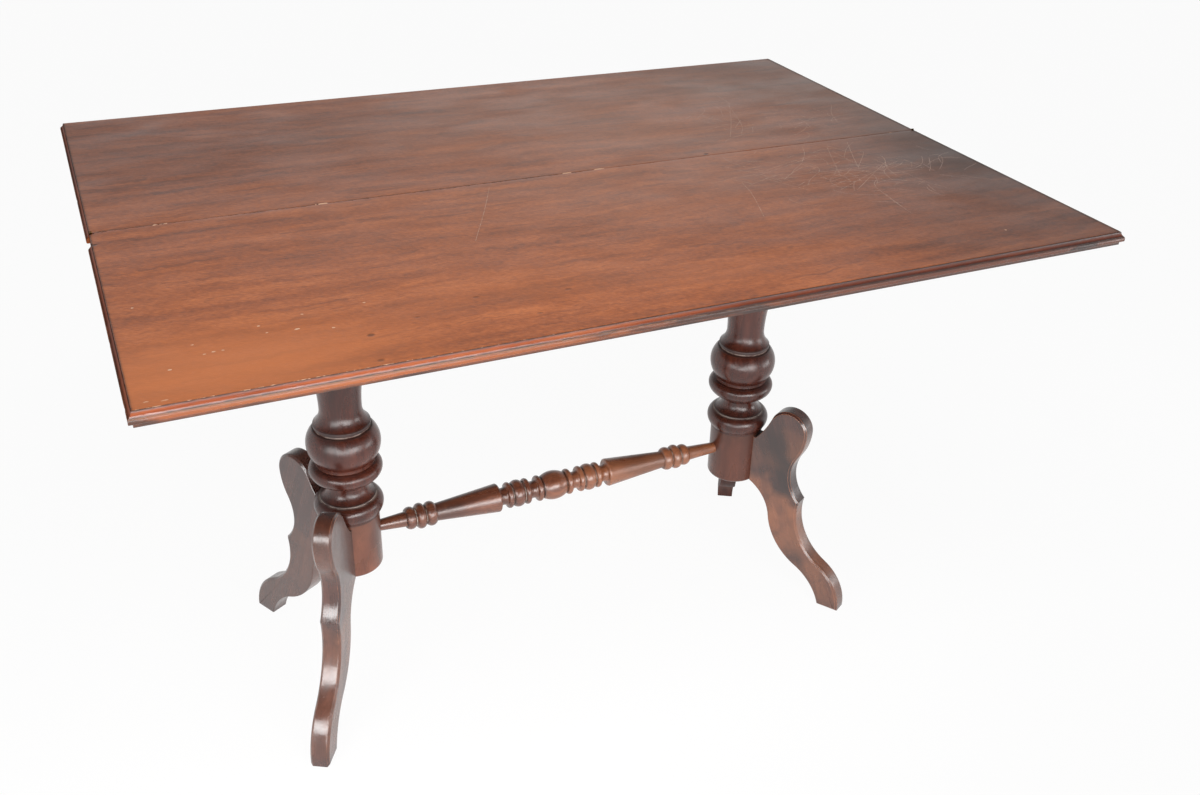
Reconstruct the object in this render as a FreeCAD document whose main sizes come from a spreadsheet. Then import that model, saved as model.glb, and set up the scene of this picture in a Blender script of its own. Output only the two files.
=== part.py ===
import FreeCAD, Part
import math
import operator
import os
from types import SimpleNamespace

import Sketcher

# A fold-over dining table. Two turned columns, each on two scrolled legs, are tied by a turned stretcher.
# Across each column lies a bearer, and two rails tie the bearers. The rear leaf slides on the bearers with
# two runners, and the front leaf is hinged to it along the seam. The frame has +X along the table,
# +Y from front to back and +Z up, with the origin on the floor under the middle of the top.

# Driving dimensions in millimetres, and one angle in degrees.
SIZES = {
    # The two leaves and the seam between them.
    "top_height": 760.0,
    "top_length": 1204.0,
    "leaf_depth": 439.0,
    "leaf_thickness": 18.0,
    "seam_gap": 0.4,
    # The moulding round the leaves, from its quirk down to the undercut.
    "moulding_reach": 5.0,
    "moulding_quirk": 0.5,
    "moulding_flat": 0.5,
    "moulding_cove_reach": 4.0,
    "moulding_cove_drop": 6.3,
    "moulding_nose_reach": 4.5,
    "moulding_nose_drop": 6.9,
    "moulding_undercut": 13.2,
    "moulding_foot": 0.8,
    "moulding_break": 30.0,
    # The hinges in the ends of the leaves.
    "hinge_rise": 0.2,
    "eye_radius": 1.7,
    "eye_clearance": 0.5,
    "eye_spacing": 0.2,
    "pin_radius": 0.7,
    "pin_clearance": 0.05,
    "plate_thickness": 3.0,
    "plate_length": 30.0,
    "plate_height": 9.0,
    "plate_inset": 2.0,
    "plate_drop": 4.5,
    "neck_width": 4.0,
    "recess_clearance": 0.2,
    "plate_screw_first": 8.0,
    "plate_screw_pitch": 14.0,
    "plate_screw_radius": 1.2,
    "plate_screw_head": 2.4,
    "plate_screw_sink": 1.6,
    "plate_screw_length": 15.0,
    # The bearers, rails and runners under the leaves.
    "slide_clearance": 0.3,
    "bearer_width": 60.0,
    "bearer_height": 42.0,
    "bearer_length": 690.0,
    "bearer_tip": 14.0,
    "bearer_sweep": 32.0,
    "rail_inset": 49.0,
    "rail_thickness": 22.0,
    "rail_height": 36.0,
    "rail_tenon_length": 14.0,
    "rail_tenon_thickness": 10.0,
    "rail_tenon_height": 22.0,
    "joint_clearance": 0.1,
    "runner_width": 24.0,
    "runner_height": 34.0,
    "tongue_reach": 8.0,
    "tongue_height": 10.0,
    "tongue_drop": 16.0,
    "runner_screw_first": 40.0,
    "runner_screw_end": 24.0,
    "runner_screw_radius": 2.2,
    "runner_screw_head": 4.4,
    "runner_screw_sink": 3.0,
    "runner_screw_bite": 10.0,
    # The turned columns, from the floor side up.
    "column_offset": 327.0,
    "drum_bottom": 190.0,
    "drum_radius": 42.5,
    "drum_round": 5.0,
    "drum_height": 92.5,
    "drum_lip_radius": 44.0,
    "drum_lip_height": 3.0,
    "low_ring_radius": 50.2,
    "low_ring_rise": 15.0,
    "low_ring_top_radius": 41.5,
    "low_ring_fall": 13.0,
    "waist_lip_radius": 40.0,
    "waist_lip_height": 2.0,
    "waist_radius": 28.5,
    "waist_rise": 18.0,
    "waist_top_radius": 36.5,
    "waist_fall": 10.0,
    "high_ring_seat_radius": 38.0,
    "high_ring_seat_height": 2.0,
    "high_ring_radius": 52.3,
    "high_ring_rise": 16.0,
    "high_ring_top_radius": 44.0,
    "high_ring_fall": 10.0,
    "bulb_seat_radius": 41.0,
    "bulb_seat_height": 5.0,
    "bulb_radius": 52.5,
    "bulb_rise": 28.0,
    "bulb_top_radius": 41.5,
    "bulb_fall": 25.5,
    "collar_groove_radius": 38.5,
    "collar_groove_height": 2.5,
    "collar_radius": 40.2,
    "collar_edge": 4.5,
    "collar_height": 23.0,
    "neck_radius": 29.6,
    "vase_radius": 42.0,
    "vase_drop": 124.7,
    "vase_foot_radius": 33.0,
    "cap_ring_seat_radius": 36.5,
    "cap_ring_radius": 44.5,
    "cap_ring_rise": 10.0,
    "cap_ring_fall": 8.5,
    "cap_neck_radius": 38.0,
    "cap_neck_height": 3.5,
    "cap_block_radius": 44.0,
    "cap_block_height": 23.7,
    "column_tenon_radius": 16.0,
    "column_tenon_shy": 0.5,
    "wedge_top": 4.0,
    "wedge_bottom": 1.5,
    "wedge_depth": 24.0,
    "wedge_width": 24.0,
    # The scrolled legs: points of the side view, out from the column's axis and up from the floor.
    "leg_splay_angle": 60.0,
    "leg_thickness": 27.5,
    "leg_chamfer": 3.2,
    "leg_shoulder": 4.5,
    "leg_joint_rise": 2.0,
    "leg_joint_drop": 5.0,
    "leg_tenon_length": 22.0,
    "leg_tenon_thickness": 10.0,
    "leg_tenon_shoulder": 11.0,
    "arch_out": 66.5,
    "arch_up": 172.0,
    "knee_out": 82.0,
    "knee_up": 137.0,
    "calf_out": 101.5,
    "calf_up": 90.5,
    "ankle_out": 146.0,
    "ankle_up": 56.0,
    "instep_out": 176.0,
    "instep_up": 31.0,
    "heel_out": 192.0,
    "toe_out": 228.5,
    "toe_radius": 80.0,
    "shin_out": 186.0,
    "shin_up": 74.0,
    "spur_out": 134.4,
    "spur_up": 182.0,
    "nape_out": 122.0,
    "nape_up": 264.0,
    "lobe_side_out": 134.0,
    "lobe_side_up": 311.0,
    "lobe_back_out": 73.0,
    "lobe_back_up": 328.8,
    "scoop_out": 60.5,
    "scoop_up": 300.5,
    # The turned stretcher: its middle half from the ball out, and its end back from the drum.
    "stretcher_height": 244.0,
    "stretcher_shift": 5.7,
    "ball_radius": 23.0,
    "ball_end_radius": 17.0,
    "ball_half": 19.5,
    "quirk_radius": 15.5,
    "quirk_width": 1.4,
    "ring_edge_radius": 17.3,
    "ring_radius": 20.6,
    "ring_half": 4.2,
    "cove_radius": 13.4,
    "cove_half": 6.0,
    "bead_radius": 21.4,
    "bead_half": 9.1,
    "cone_lip_radius": 20.0,
    "cone_radius": 22.4,
    "cone_nose": 4.0,
    "cone_end_radius": 13.5,
    "end_edge_radius": 14.4,
    "end_ring_radius": 19.0,
    "end_ring_half": 8.0,
    "end_bead_radius": 19.8,
    "end_bead_half": 7.4,
    "last_ring_radius": 17.4,
    "last_ring_half": 7.4,
    "end_quirk_width": 0.8,
    "stem_radius": 11.6,
    "stem_length": 44.5,
    "stem_end_radius": 8.7,
    "stretcher_tenon_length": 22.0,
    "tenon_end_gap": 0.5,
}

UP = FreeCAD.Vector(0, 0, 1)
OPERATIONS = {"+": operator.add, "-": operator.sub, "*": operator.mul, "/": operator.truediv}
HALF_TURN = 180.0
SIDES = {"left": -1, "right": 1}


class Size:
    """A length in millimetres that remembers the sheet expression it comes from."""

    def __init__(self, value, text):
        self.value = float(value)
        self.text = text

    def __add__(self, other):
        return join(self, "+", other)

    def __sub__(self, other):
        return join(self, "-", other)

    def __mul__(self, other):
        return join(self, "*", other)

    def __truediv__(self, other):
        return join(self, "/", other)

    def __neg__(self):
        return join(0, "-", self)


def as_size(number):
    """A plain number as a Size, so that both can stand in one sum."""
    if isinstance(number, Size):
        return number
    return Size(number, f"({number})")


def join(left, sign, right):
    """The Size that an arithmetic sign makes of two sizes."""
    left = as_size(left)
    right = as_size(right)
    return Size(OPERATIONS[sign](left.value, right.value), f"({left.text} {sign} {right.text})")


def root(size):
    """The square root of a Size."""
    return Size(math.sqrt(size.value), f"sqrt({size.text})")


def fill_sheet(doc):
    """Writes SIZES into a spreadsheet and returns them as Sizes that refer to its cells."""
    sheet = doc.addObject("Spreadsheet::Sheet", "sizes")
    for row, (name, value) in enumerate(SIZES.items(), start=1):
        sheet.set(f"A{row}", str(value))
        sheet.setAlias(f"A{row}", name)
    doc.recompute()
    return SimpleNamespace(**{name: Size(value, f"sizes.{name}") for name, value in SIZES.items()})


doc = FreeCAD.newDocument("fold_over_table")
S = fill_sheet(doc)
ZERO = as_size(0)

# Levels and places that several pieces share.
leaf_under = S.top_height - S.leaf_thickness
bearer_top = leaf_under - S.slide_clearance
bearer_under = bearer_top - S.bearer_height
drum_top = S.drum_bottom + S.drum_height
seat_out = root(S.drum_radius * S.drum_radius - S.leg_thickness * S.leg_thickness / 4)
joint_bottom = S.drum_bottom + S.leg_joint_rise
joint_top = drum_top - S.leg_joint_drop
leg_tenon_bottom = joint_bottom + S.leg_tenon_shoulder
leg_tenon_height = joint_top - joint_bottom - S.leg_tenon_shoulder * 2
half_span = S.column_offset - S.drum_radius
bearer_inner = S.column_offset - S.bearer_width / 2
rail_offset = S.bearer_length / 2 - S.rail_inset
rail_inner = rail_offset - S.rail_thickness / 2
rail_under = bearer_top - S.rail_height
rail_tenon_under = rail_under + (S.rail_height - S.rail_tenon_height) / 2
slide_travel = S.leaf_depth / 2
runner_rear = rail_inner - S.slide_clearance
runner_length = rail_inner * 2 - slide_travel - S.slide_clearance * 2
runner_outer = bearer_inner - S.slide_clearance
tongue_top = leaf_under - S.tongue_drop
tenon_top = bearer_top - S.column_tenon_shy
half_length = S.top_length / 2
half_seam = S.seam_gap / 2
hinge_axis = S.top_height + S.hinge_rise
plate_top = S.top_height - S.plate_drop
plate_under = plate_top - S.plate_height
plate_middle = plate_top - S.plate_height / 2
eye_width = (S.plate_thickness - S.eye_spacing) / 2


def bind(thing, path, size):
    """Ties a property to the sheet."""
    thing.setExpression(path, as_size(size).text)


def place(thing, x=ZERO, y=ZERO, z=ZERO, turn=None, axis=UP):
    """Places a piece, after turning it by an angle in degrees about an axis."""
    if turn is not None:
        thing.Placement = FreeCAD.Placement(FreeCAD.Vector(), FreeCAD.Rotation(axis, as_size(turn).value))
    for letter, size in zip("xyz", (x, y, z)):
        bind(thing, f"Placement.Base.{letter}", size)
    return thing


def origin_plane(body, role):
    """One of a body's own origin planes."""
    return next(plane for plane in body.Origin.OriginFeatures if plane.Role == role)


def arc_geometry(begin, through, end):
    """An arc over three points, turned anticlockwise, and whether that swaps its ends."""
    points = [FreeCAD.Vector(x, y, 0) for x, y in (begin, through, end)]
    clockwise = (points[1] - points[0]).cross(points[2] - points[1]).z < 0
    if clockwise:
        points.reverse()
    circle = Part.Arc(*points).toShape().Curve
    centre = circle.Center
    angles = [math.atan2(p.y - centre.y, p.x - centre.x) for p in (points[0], points[2])]
    return Part.ArcOfCircle(Part.Circle(centre, UP, circle.Radius), *angles), clockwise


def middle_of_arc(begin, end, radius, side):
    """The middle point of the arc of a radius that bulges to the left (+1) or right (-1) of begin to end."""
    chord = math.hypot(end[0] - begin[0], end[1] - begin[1])
    sagitta = radius - math.sqrt(max(radius * radius - chord * chord / 4, 0))
    across = (-(end[1] - begin[1]) / chord, (end[0] - begin[0]) / chord)
    return tuple((begin[i] + end[i]) / 2 + side * sagitta * across[i] for i in range(2))


def line_to(x, y):
    """A straight stretch of an outline."""
    return SimpleNamespace(end=(as_size(x), as_size(y)), through=None, radius=None, side=0)


def arc_over(through_x, through_y, x, y):
    """A round stretch of an outline over a point."""
    through = (as_size(through_x), as_size(through_y))
    return SimpleNamespace(end=(as_size(x), as_size(y)), through=through, radius=None, side=0)


def arc_of(radius, side, x, y):
    """A round stretch of an outline with a radius, bulging to the left (+1) or right (-1) of its way."""
    return SimpleNamespace(end=(as_size(x), as_size(y)), through=None, radius=radius, side=side)


class Outline:
    """A sketch of closed loops of lines and arcs whose points and radii are tied to the sheet."""

    def __init__(self, body, name, role):
        self.sketch = body.newObject("Sketcher::SketchObject", name)
        self.sketch.AttachmentSupport = [(origin_plane(body, role), "")]
        self.sketch.MapMode = "FlatFace"

    def constrain(self, kind, *values):
        """Adds a constraint whose last value, if it is a Size, is tied to the sheet."""
        if not isinstance(values[-1], Size):
            self.sketch.addConstraint(Sketcher.Constraint(kind, *values))
            return
        index = self.sketch.addConstraint(Sketcher.Constraint(kind, *values[:-1], values[-1].value))
        bind(self.sketch, f"Constraints[{index}]", values[-1])

    def pin(self, geometry, position, point):
        """Holds a point of the sketch at its two sizes."""
        for kind, axis, size in (("DistanceX", -2, point[0]), ("DistanceY", -1, point[1])):
            if size is ZERO:
                self.constrain("PointOnObject", geometry, position, axis)
            else:
                self.constrain(kind, -1, 1, geometry, position, size)

    def loop(self, start, steps):
        """Draws one closed loop from a start point."""
        start = (as_size(start[0]), as_size(start[1]))
        here = start
        ends = []
        for step in steps:
            ends.append(self.stretch(here, step))
            here = step.end
        for number, (geometry, first, _) in enumerate(ends):
            before, _, last = ends[number - 1]
            self.constrain("Coincident", before, last, geometry, first)
            self.pin(geometry, first, steps[number - 1].end)
        return self

    def stretch(self, here, step):
        """Draws one stretch and returns its index and its first and last point."""
        begin = tuple(size.value for size in here)
        end = tuple(size.value for size in step.end)
        if step.through is None and step.radius is None:
            segment = Part.LineSegment(FreeCAD.Vector(*begin, 0), FreeCAD.Vector(*end, 0))
            return self.sketch.addGeometry(segment, False), 1, 2
        if step.radius is None:
            middle = tuple(size.value for size in step.through)
        else:
            middle = middle_of_arc(begin, end, step.radius.value, step.side)
        arc, swapped = arc_geometry(begin, middle, end)
        geometry = self.sketch.addGeometry(arc, False)
        if step.radius is None:
            point = self.sketch.addGeometry(Part.Point(FreeCAD.Vector(*middle, 0)), True)
            self.pin(point, 1, step.through)
            self.constrain("PointOnObject", point, 1, geometry)
        else:
            self.constrain("Radius", geometry, step.radius)
        return (geometry, 2, 1) if swapped else (geometry, 1, 2)

    def rectangle(self, low_x, low_y, high_x, high_y):
        """Draws a rectangle between two corners."""
        corners = ((high_x, low_y), (high_x, high_y), (low_x, high_y), (low_x, low_y))
        return self.loop((low_x, low_y), [line_to(*corner) for corner in corners])

    def circle(self, x, y, radius):
        """Draws a circle."""
        centre = FreeCAD.Vector(as_size(x).value, as_size(y).value, 0)
        geometry = self.sketch.addGeometry(Part.Circle(centre, UP, radius.value), False)
        self.pin(geometry, 3, (as_size(x), as_size(y)))
        self.constrain("Radius", geometry, radius)
        return self

    def lift(self, distance, turn=None):
        """Moves the sketch off its plane, after turning it in the plane by an angle in degrees."""
        if turn is not None:
            rotation = FreeCAD.Rotation(UP, turn.value)
            self.sketch.AttachmentOffset = FreeCAD.Placement(FreeCAD.Vector(), rotation)
            bind(self.sketch, "AttachmentOffset.Rotation.Angle", turn)
        bind(self.sketch, "AttachmentOffset.Base.z", distance)
        return self


def quarter(from_out, to_out, along):
    """The radius of an arc that ends level, from one distance off the axis to another, over a length."""
    rise = to_out - from_out
    return (rise * rise + along * along) / (rise * 2)


def new_body(label):
    """A named body."""
    body = doc.addObject("PartDesign::Body", label)
    body.Label = label
    return body


def pad(body, outline, length, symmetric=False, reverse=False):
    """Adds an outline's extrusion to a body."""
    feature = body.newObject("PartDesign::Pad", f"{body.Name}_pad")
    feature.Profile = outline.sketch
    feature.SideType = "Symmetric" if symmetric else "One side"
    feature.Reversed = reverse
    bind(feature, "Length", length)
    return feature


def pocket(body, outline, length, symmetric=False, reverse=False):
    """Cuts an outline's extrusion out of a body, and stops if that cuts nothing."""
    doc.recompute()
    before = body.Shape.Volume
    feature = body.newObject("PartDesign::Pocket", f"{body.Name}_pocket")
    feature.Profile = outline.sketch
    feature.SideType = "Symmetric" if symmetric else "One side"
    feature.Reversed = reverse
    bind(feature, "Length", length)
    doc.recompute()
    if not body.Shape.Volume < before:
        raise RuntimeError(f"a pocket in {body.Label} cuts nothing")
    return feature


def revolve(body, outline, axis):
    """Turns an outline about one of its sketch's axes."""
    feature = body.newObject("PartDesign::Revolution", f"{body.Name}_turning")
    feature.Profile = outline.sketch
    feature.ReferenceAxis = (outline.sketch, [axis])
    return feature


def mirror(body, features, role):
    """Repeats features on the other side of an origin plane."""
    doc.recompute()
    feature = body.newObject("PartDesign::Mirrored", f"{body.Name}_mirrored")
    feature.Originals = features
    feature.MirrorPlane = (origin_plane(body, role), [""])
    body.Tip = feature
    doc.recompute()
    return feature


def box(name, low, high):
    """A box between two corners."""
    thing = doc.addObject("Part::Box", name)
    for letter, side, start, end in zip("xyz", ("Length", "Width", "Height"), low, high):
        bind(thing, side, as_size(end) - start)
        bind(thing, f"Placement.Base.{letter}", start)
    return thing


def cylinder_along_x(name, radius, x, y, z, length):
    """A round bar along +X."""
    thing = doc.addObject("Part::Cylinder", name)
    bind(thing, "Radius", radius)
    bind(thing, "Height", length)
    return place(thing, x, y, z, turn=90, axis=FreeCAD.Vector(0, 1, 0))


def fuse(name, things):
    """Things joined into one solid."""
    thing = doc.addObject("Part::MultiFuse", name)
    thing.Shapes = things
    return thing


def cut(name, base, tools):
    """A thing with tools cut out of it."""
    thing = doc.addObject("Part::Cut", name)
    thing.Base = base
    thing.Tool = tools[0] if len(tools) == 1 else fuse(f"{name}_tools", tools)
    thing.Label = name
    return thing


def group(name, things):
    """Separate solids under one name."""
    thing = doc.addObject("Part::Compound", name)
    thing.Links = things
    thing.Label = name
    return thing


def screw(name, head, radius, sink, length):
    """A countersunk screw along +Z with its flat head at the origin, and its hole if made larger."""
    cone = doc.addObject("Part::Cone", f"{name}_head")
    bind(cone, "Radius1", head)
    bind(cone, "Radius2", radius)
    bind(cone, "Height", sink)
    shank = doc.addObject("Part::Cylinder", f"{name}_shank")
    bind(shank, "Radius", radius)
    bind(shank, "Height", length)
    return fuse(name, [cone, shank])


def column_outline(body):
    """The turned profile of a column, from the bottom of the drum up to the tenon."""
    out = S.drum_radius
    up = S.drum_bottom
    steps = [line_to(out - S.drum_round, up), arc_of(S.drum_round, -1, out, up + S.drum_round)]
    up = drum_top
    steps.append(line_to(out, up))
    steps.append(line_to(S.drum_lip_radius, up))
    up = up + S.drum_lip_height
    steps.append(line_to(S.drum_lip_radius, up))
    up = swell(steps, S.drum_lip_radius, up, S.low_ring_radius, S.low_ring_rise, S.low_ring_top_radius,
               S.low_ring_fall)
    steps.append(line_to(S.waist_lip_radius, up))
    up = up + S.waist_lip_height
    steps.append(line_to(S.waist_lip_radius, up))
    up = swell(steps, S.waist_lip_radius, up, S.waist_radius, S.waist_rise, S.waist_top_radius, S.waist_fall)
    steps.append(line_to(S.high_ring_seat_radius, up))
    up = up + S.high_ring_seat_height
    steps.append(line_to(S.high_ring_seat_radius, up))
    up = swell(steps, S.high_ring_seat_radius, up, S.high_ring_radius, S.high_ring_rise,
               S.high_ring_top_radius, S.high_ring_fall)
    steps.append(line_to(S.bulb_seat_radius, up))
    up = up + S.bulb_seat_height
    steps.append(line_to(S.bulb_seat_radius, up))
    up = swell(steps, S.bulb_seat_radius, up, S.bulb_radius, S.bulb_rise, S.bulb_top_radius, S.bulb_fall)
    steps.append(line_to(S.collar_groove_radius, up))
    up = up + S.collar_groove_height
    steps.append(line_to(S.collar_groove_radius, up))
    steps.append(line_to(S.collar_radius, up))
    up = up + S.collar_edge
    steps.append(line_to(S.collar_radius, up))
    neck_up = up + S.collar_height
    steps.append(arc_of(quarter(S.neck_radius, S.collar_radius, S.collar_height), 1, S.neck_radius, neck_up))
    vase_up = bearer_under - S.vase_drop
    ogee(steps, S.neck_radius, neck_up, S.vase_radius, vase_up)
    neck_under = bearer_under - S.cap_block_height - S.cap_neck_height
    ring_under = neck_under - S.cap_ring_fall - S.cap_ring_rise
    shoulder = quarter(S.vase_foot_radius, S.vase_radius, ring_under - vase_up)
    steps.append(arc_of(shoulder, -1, S.vase_foot_radius, ring_under))
    steps.append(line_to(S.cap_ring_seat_radius, ring_under))
    swell(steps, S.cap_ring_seat_radius, ring_under, S.cap_ring_radius, S.cap_ring_rise, S.cap_neck_radius,
          S.cap_ring_fall)
    block_under = bearer_under - S.cap_block_height
    steps.append(line_to(S.cap_neck_radius, block_under))
    steps.append(line_to(S.cap_block_radius, block_under))
    steps.append(line_to(S.cap_block_radius, bearer_under))
    steps.append(line_to(S.column_tenon_radius, bearer_under))
    steps.append(line_to(S.column_tenon_radius, tenon_top))
    steps.append(line_to(ZERO, tenon_top))
    steps.append(line_to(ZERO, S.drum_bottom))
    return Outline(body, f"{body.Name}_profile", "XZ_Plane").loop((ZERO, S.drum_bottom), steps)


def swell(steps, start_out, start_up, crest_out, rise, end_out, fall):
    """Adds a bead or a hollow of two arcs that meet level at its crest, and returns where it ends."""
    side = -1 if crest_out.value > start_out.value else 1
    crest_up = start_up + rise
    steps.append(arc_of(quarter(start_out, crest_out, rise) * -side, side, crest_out, crest_up))
    end_up = crest_up + fall
    steps.append(arc_of(quarter(end_out, crest_out, fall) * -side, side, end_out, end_up))
    return end_up


def ogee(steps, start_out, start_up, end_out, end_up):
    """Adds an S of two equal arcs that are level at both ends."""
    middle_out = (start_out + end_out) / 2
    middle_up = (start_up + end_up) / 2
    widens = 1 if end_out.value > start_out.value else -1
    radius = quarter(start_out, middle_out, middle_up - start_up) * widens
    steps.append(arc_of(radius, widens, middle_out, middle_up))
    steps.append(arc_of(radius, -widens, end_out, end_up))


def wedge_outline(body):
    """The slot in the top of a column's tenon, and the wedge that fills it."""
    floor_up = tenon_top - S.wedge_depth
    steps = [
        line_to(S.wedge_bottom / 2, floor_up),
        line_to(S.wedge_top / 2, tenon_top),
        line_to(-(S.wedge_top / 2), tenon_top),
        line_to(-(S.wedge_bottom / 2), floor_up),
    ]
    return Outline(body, f"{body.Name}_wedge", "YZ_Plane").loop((-(S.wedge_bottom / 2), floor_up), steps)


def column(side):
    """A column with its leg mortises, stretcher bore and wedged tenon. Its outward side is local +X."""
    body = new_body(f"column_{side}")
    revolve(body, column_outline(body), "V_Axis")
    seat = Outline(body, f"{body.Name}_seat", "XY_Plane")
    seat.rectangle(seat_out, -(S.leg_thickness / 2), S.drum_radius * 2, S.leg_thickness / 2)
    seat.lift(S.drum_bottom, S.leg_splay_angle)
    seat_cut = pocket(body, seat, joint_top - S.drum_bottom, reverse=True)
    mortise_half = S.leg_tenon_thickness / 2 + S.joint_clearance
    mortise = Outline(body, f"{body.Name}_mortise", "XY_Plane")
    mortise_end = seat_out - S.leg_tenon_length - S.tenon_end_gap
    mortise.rectangle(mortise_end, -mortise_half, S.drum_radius, mortise_half)
    mortise.lift(leg_tenon_bottom - S.joint_clearance, S.leg_splay_angle)
    mortise_cut = pocket(body, mortise, leg_tenon_height + S.joint_clearance * 2, reverse=True)
    mirror(body, [seat_cut, mortise_cut], "XZ_Plane")
    bore = Outline(body, f"{body.Name}_bore", "YZ_Plane")
    bore.circle(ZERO, S.stretcher_height, S.stem_end_radius + S.joint_clearance)
    bore.lift(-(S.drum_radius - S.stretcher_tenon_length - S.tenon_end_gap))
    pocket(body, bore, S.drum_radius)
    pocket(body, wedge_outline(body), S.column_tenon_radius * 2, symmetric=True)
    outward = S.column_offset * SIDES[side]
    return place(body, outward, turn=0 if side == "right" else HALF_TURN)


def tenon_wedges():
    """The wedges that spread the two column tenons in their bearers."""
    wedges = []
    for side, sign in SIDES.items():
        body = new_body(f"wedge_{side}")
        pad(body, wedge_outline(body), S.wedge_width, symmetric=True)
        wedges.append(place(body, S.column_offset * sign))
    return group("tenon_wedges", wedges)


def smooth_radius(join_out, join_up, centre_out, centre_up, radius, end_out, end_up):
    """The radius of an arc that bends the other way without a corner where another arc of a radius ends."""
    toward_out = (join_out - centre_out) / radius
    toward_up = (join_up - centre_up) / radius
    gap_out = end_out - join_out
    gap_up = end_up - join_up
    return (gap_out * gap_out + gap_up * gap_up) / ((gap_out * toward_out + gap_up * toward_up) * 2)


def throat_radius(cheek):
    """The radius of the hollow over the spur, which runs on smoothly into the cheek."""
    return smooth_radius(S.nape_out, S.nape_up, S.lobe_side_out - cheek, S.lobe_side_up, cheek, S.spur_out,
                         S.spur_up)


def hollow_radius():
    """The radius of the hollow under the spur, which runs on smoothly from the back of the toe."""
    run = S.toe_out - S.shin_out
    chord = root(run * run + S.shin_up * S.shin_up)
    reach = root(S.toe_radius * S.toe_radius - chord * chord / 4)
    centre_out = (S.toe_out + S.shin_out) / 2 - S.shin_up / chord * reach
    centre_up = S.shin_up / 2 - run / chord * reach
    return smooth_radius(S.shin_out, S.shin_up, centre_out, centre_up, S.toe_radius, S.spur_out, S.spur_up)


def leg_outline(body):
    """The side view of a leg, from the joint's bottom along the inner edge to the toe and back up."""
    cheek = quarter(S.nape_out, S.lobe_side_out, S.lobe_side_up - S.nape_up)
    lobe = quarter(S.lobe_back_out, S.lobe_side_out, S.lobe_back_up - S.lobe_side_up)
    steps = [
        arc_over(S.arch_out, S.arch_up, S.knee_out, S.knee_up),
        arc_over(S.calf_out, S.calf_up, S.ankle_out, S.ankle_up),
        arc_over(S.instep_out, S.instep_up, S.heel_out, ZERO),
        line_to(S.toe_out, ZERO),
        arc_of(S.toe_radius, -1, S.shin_out, S.shin_up),
        arc_of(hollow_radius(), 1, S.spur_out, S.spur_up),
        arc_of(throat_radius(cheek), 1, S.nape_out, S.nape_up),
        arc_of(cheek, -1, S.lobe_side_out, S.lobe_side_up),
        arc_of(lobe, -1, S.lobe_back_out, S.lobe_back_up),
        arc_over(S.scoop_out, S.scoop_up, seat_out + S.leg_shoulder, joint_top),
        line_to(seat_out, joint_top),
        line_to(seat_out, joint_bottom),
    ]
    return Outline(body, f"{body.Name}_side", "XZ_Plane").loop((seat_out, joint_bottom), steps)


def face_edge(shape, across, first, last):
    """The name of the edge between two points of a leg's side view, on the face at a distance across."""
    wanted = [FreeCAD.Vector(out.value, across, up.value) for out, up in (first, last)]
    for number, edge in enumerate(shape.Edges, start=1):
        ends = [vertex.Point for vertex in edge.Vertexes]
        if all(any(point.isEqual(end, 0.001) for end in ends) for point in wanted):
            return f"Edge{number}"
    raise RuntimeError("a leg lacks an edge that is to be chamfered")


def chamfer(body, edges):
    """Chamfers edges of a body, with those that run on smoothly from them."""
    base = body.Tip
    feature = body.newObject("PartDesign::Chamfer", f"{body.Name}_chamfer")
    feature.Base = (base, edges)
    bind(feature, "Size", S.leg_chamfer)
    doc.recompute()
    return feature


def chamfer_outer_edges(body):
    """Chamfers a leg's outer edges: round the lobe down to the spur, and from the spur to the toe."""
    doc.recompute()
    half = S.leg_thickness.value / 2
    lobe = ((S.lobe_side_out, S.lobe_side_up), (S.lobe_back_out, S.lobe_back_up))
    shin = ((S.toe_out, ZERO), (S.shin_out, S.shin_up))
    for across in (half, -half):
        chamfer(body, [face_edge(body.Shape, across, *lobe)])
    chamfer(body, [face_edge(body.Shape, across, *shin) for across in (half, -half)])


def leg(label, turn):
    """A scrolled leg with chamfered outer edges and the tenon that enters its drum."""
    side, place_in_pair = label
    body = new_body(f"leg_{side}_{place_in_pair}")
    pad(body, leg_outline(body), S.leg_thickness, symmetric=True)
    chamfer_outer_edges(body)
    tenon = Outline(body, f"{body.Name}_tenon", "XZ_Plane")
    tenon.rectangle(seat_out - S.leg_tenon_length, leg_tenon_bottom, S.knee_out,
                    leg_tenon_bottom + leg_tenon_height)
    pad(body, tenon, S.leg_tenon_thickness, symmetric=True)
    place(body, S.column_offset * SIDES[side], turn=turn)
    bind(body, "Placement.Rotation.Angle", turn)
    return body


def legs():
    """The four legs, two to a column, splayed to the front and the back."""
    turns = {
        ("left", "front"): S.leg_splay_angle - HALF_TURN,
        ("left", "rear"): as_size(HALF_TURN) - S.leg_splay_angle,
        ("right", "front"): -S.leg_splay_angle,
        ("right", "rear"): S.leg_splay_angle,
    }
    return [leg(label, turn) for label, turn in turns.items()]


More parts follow.
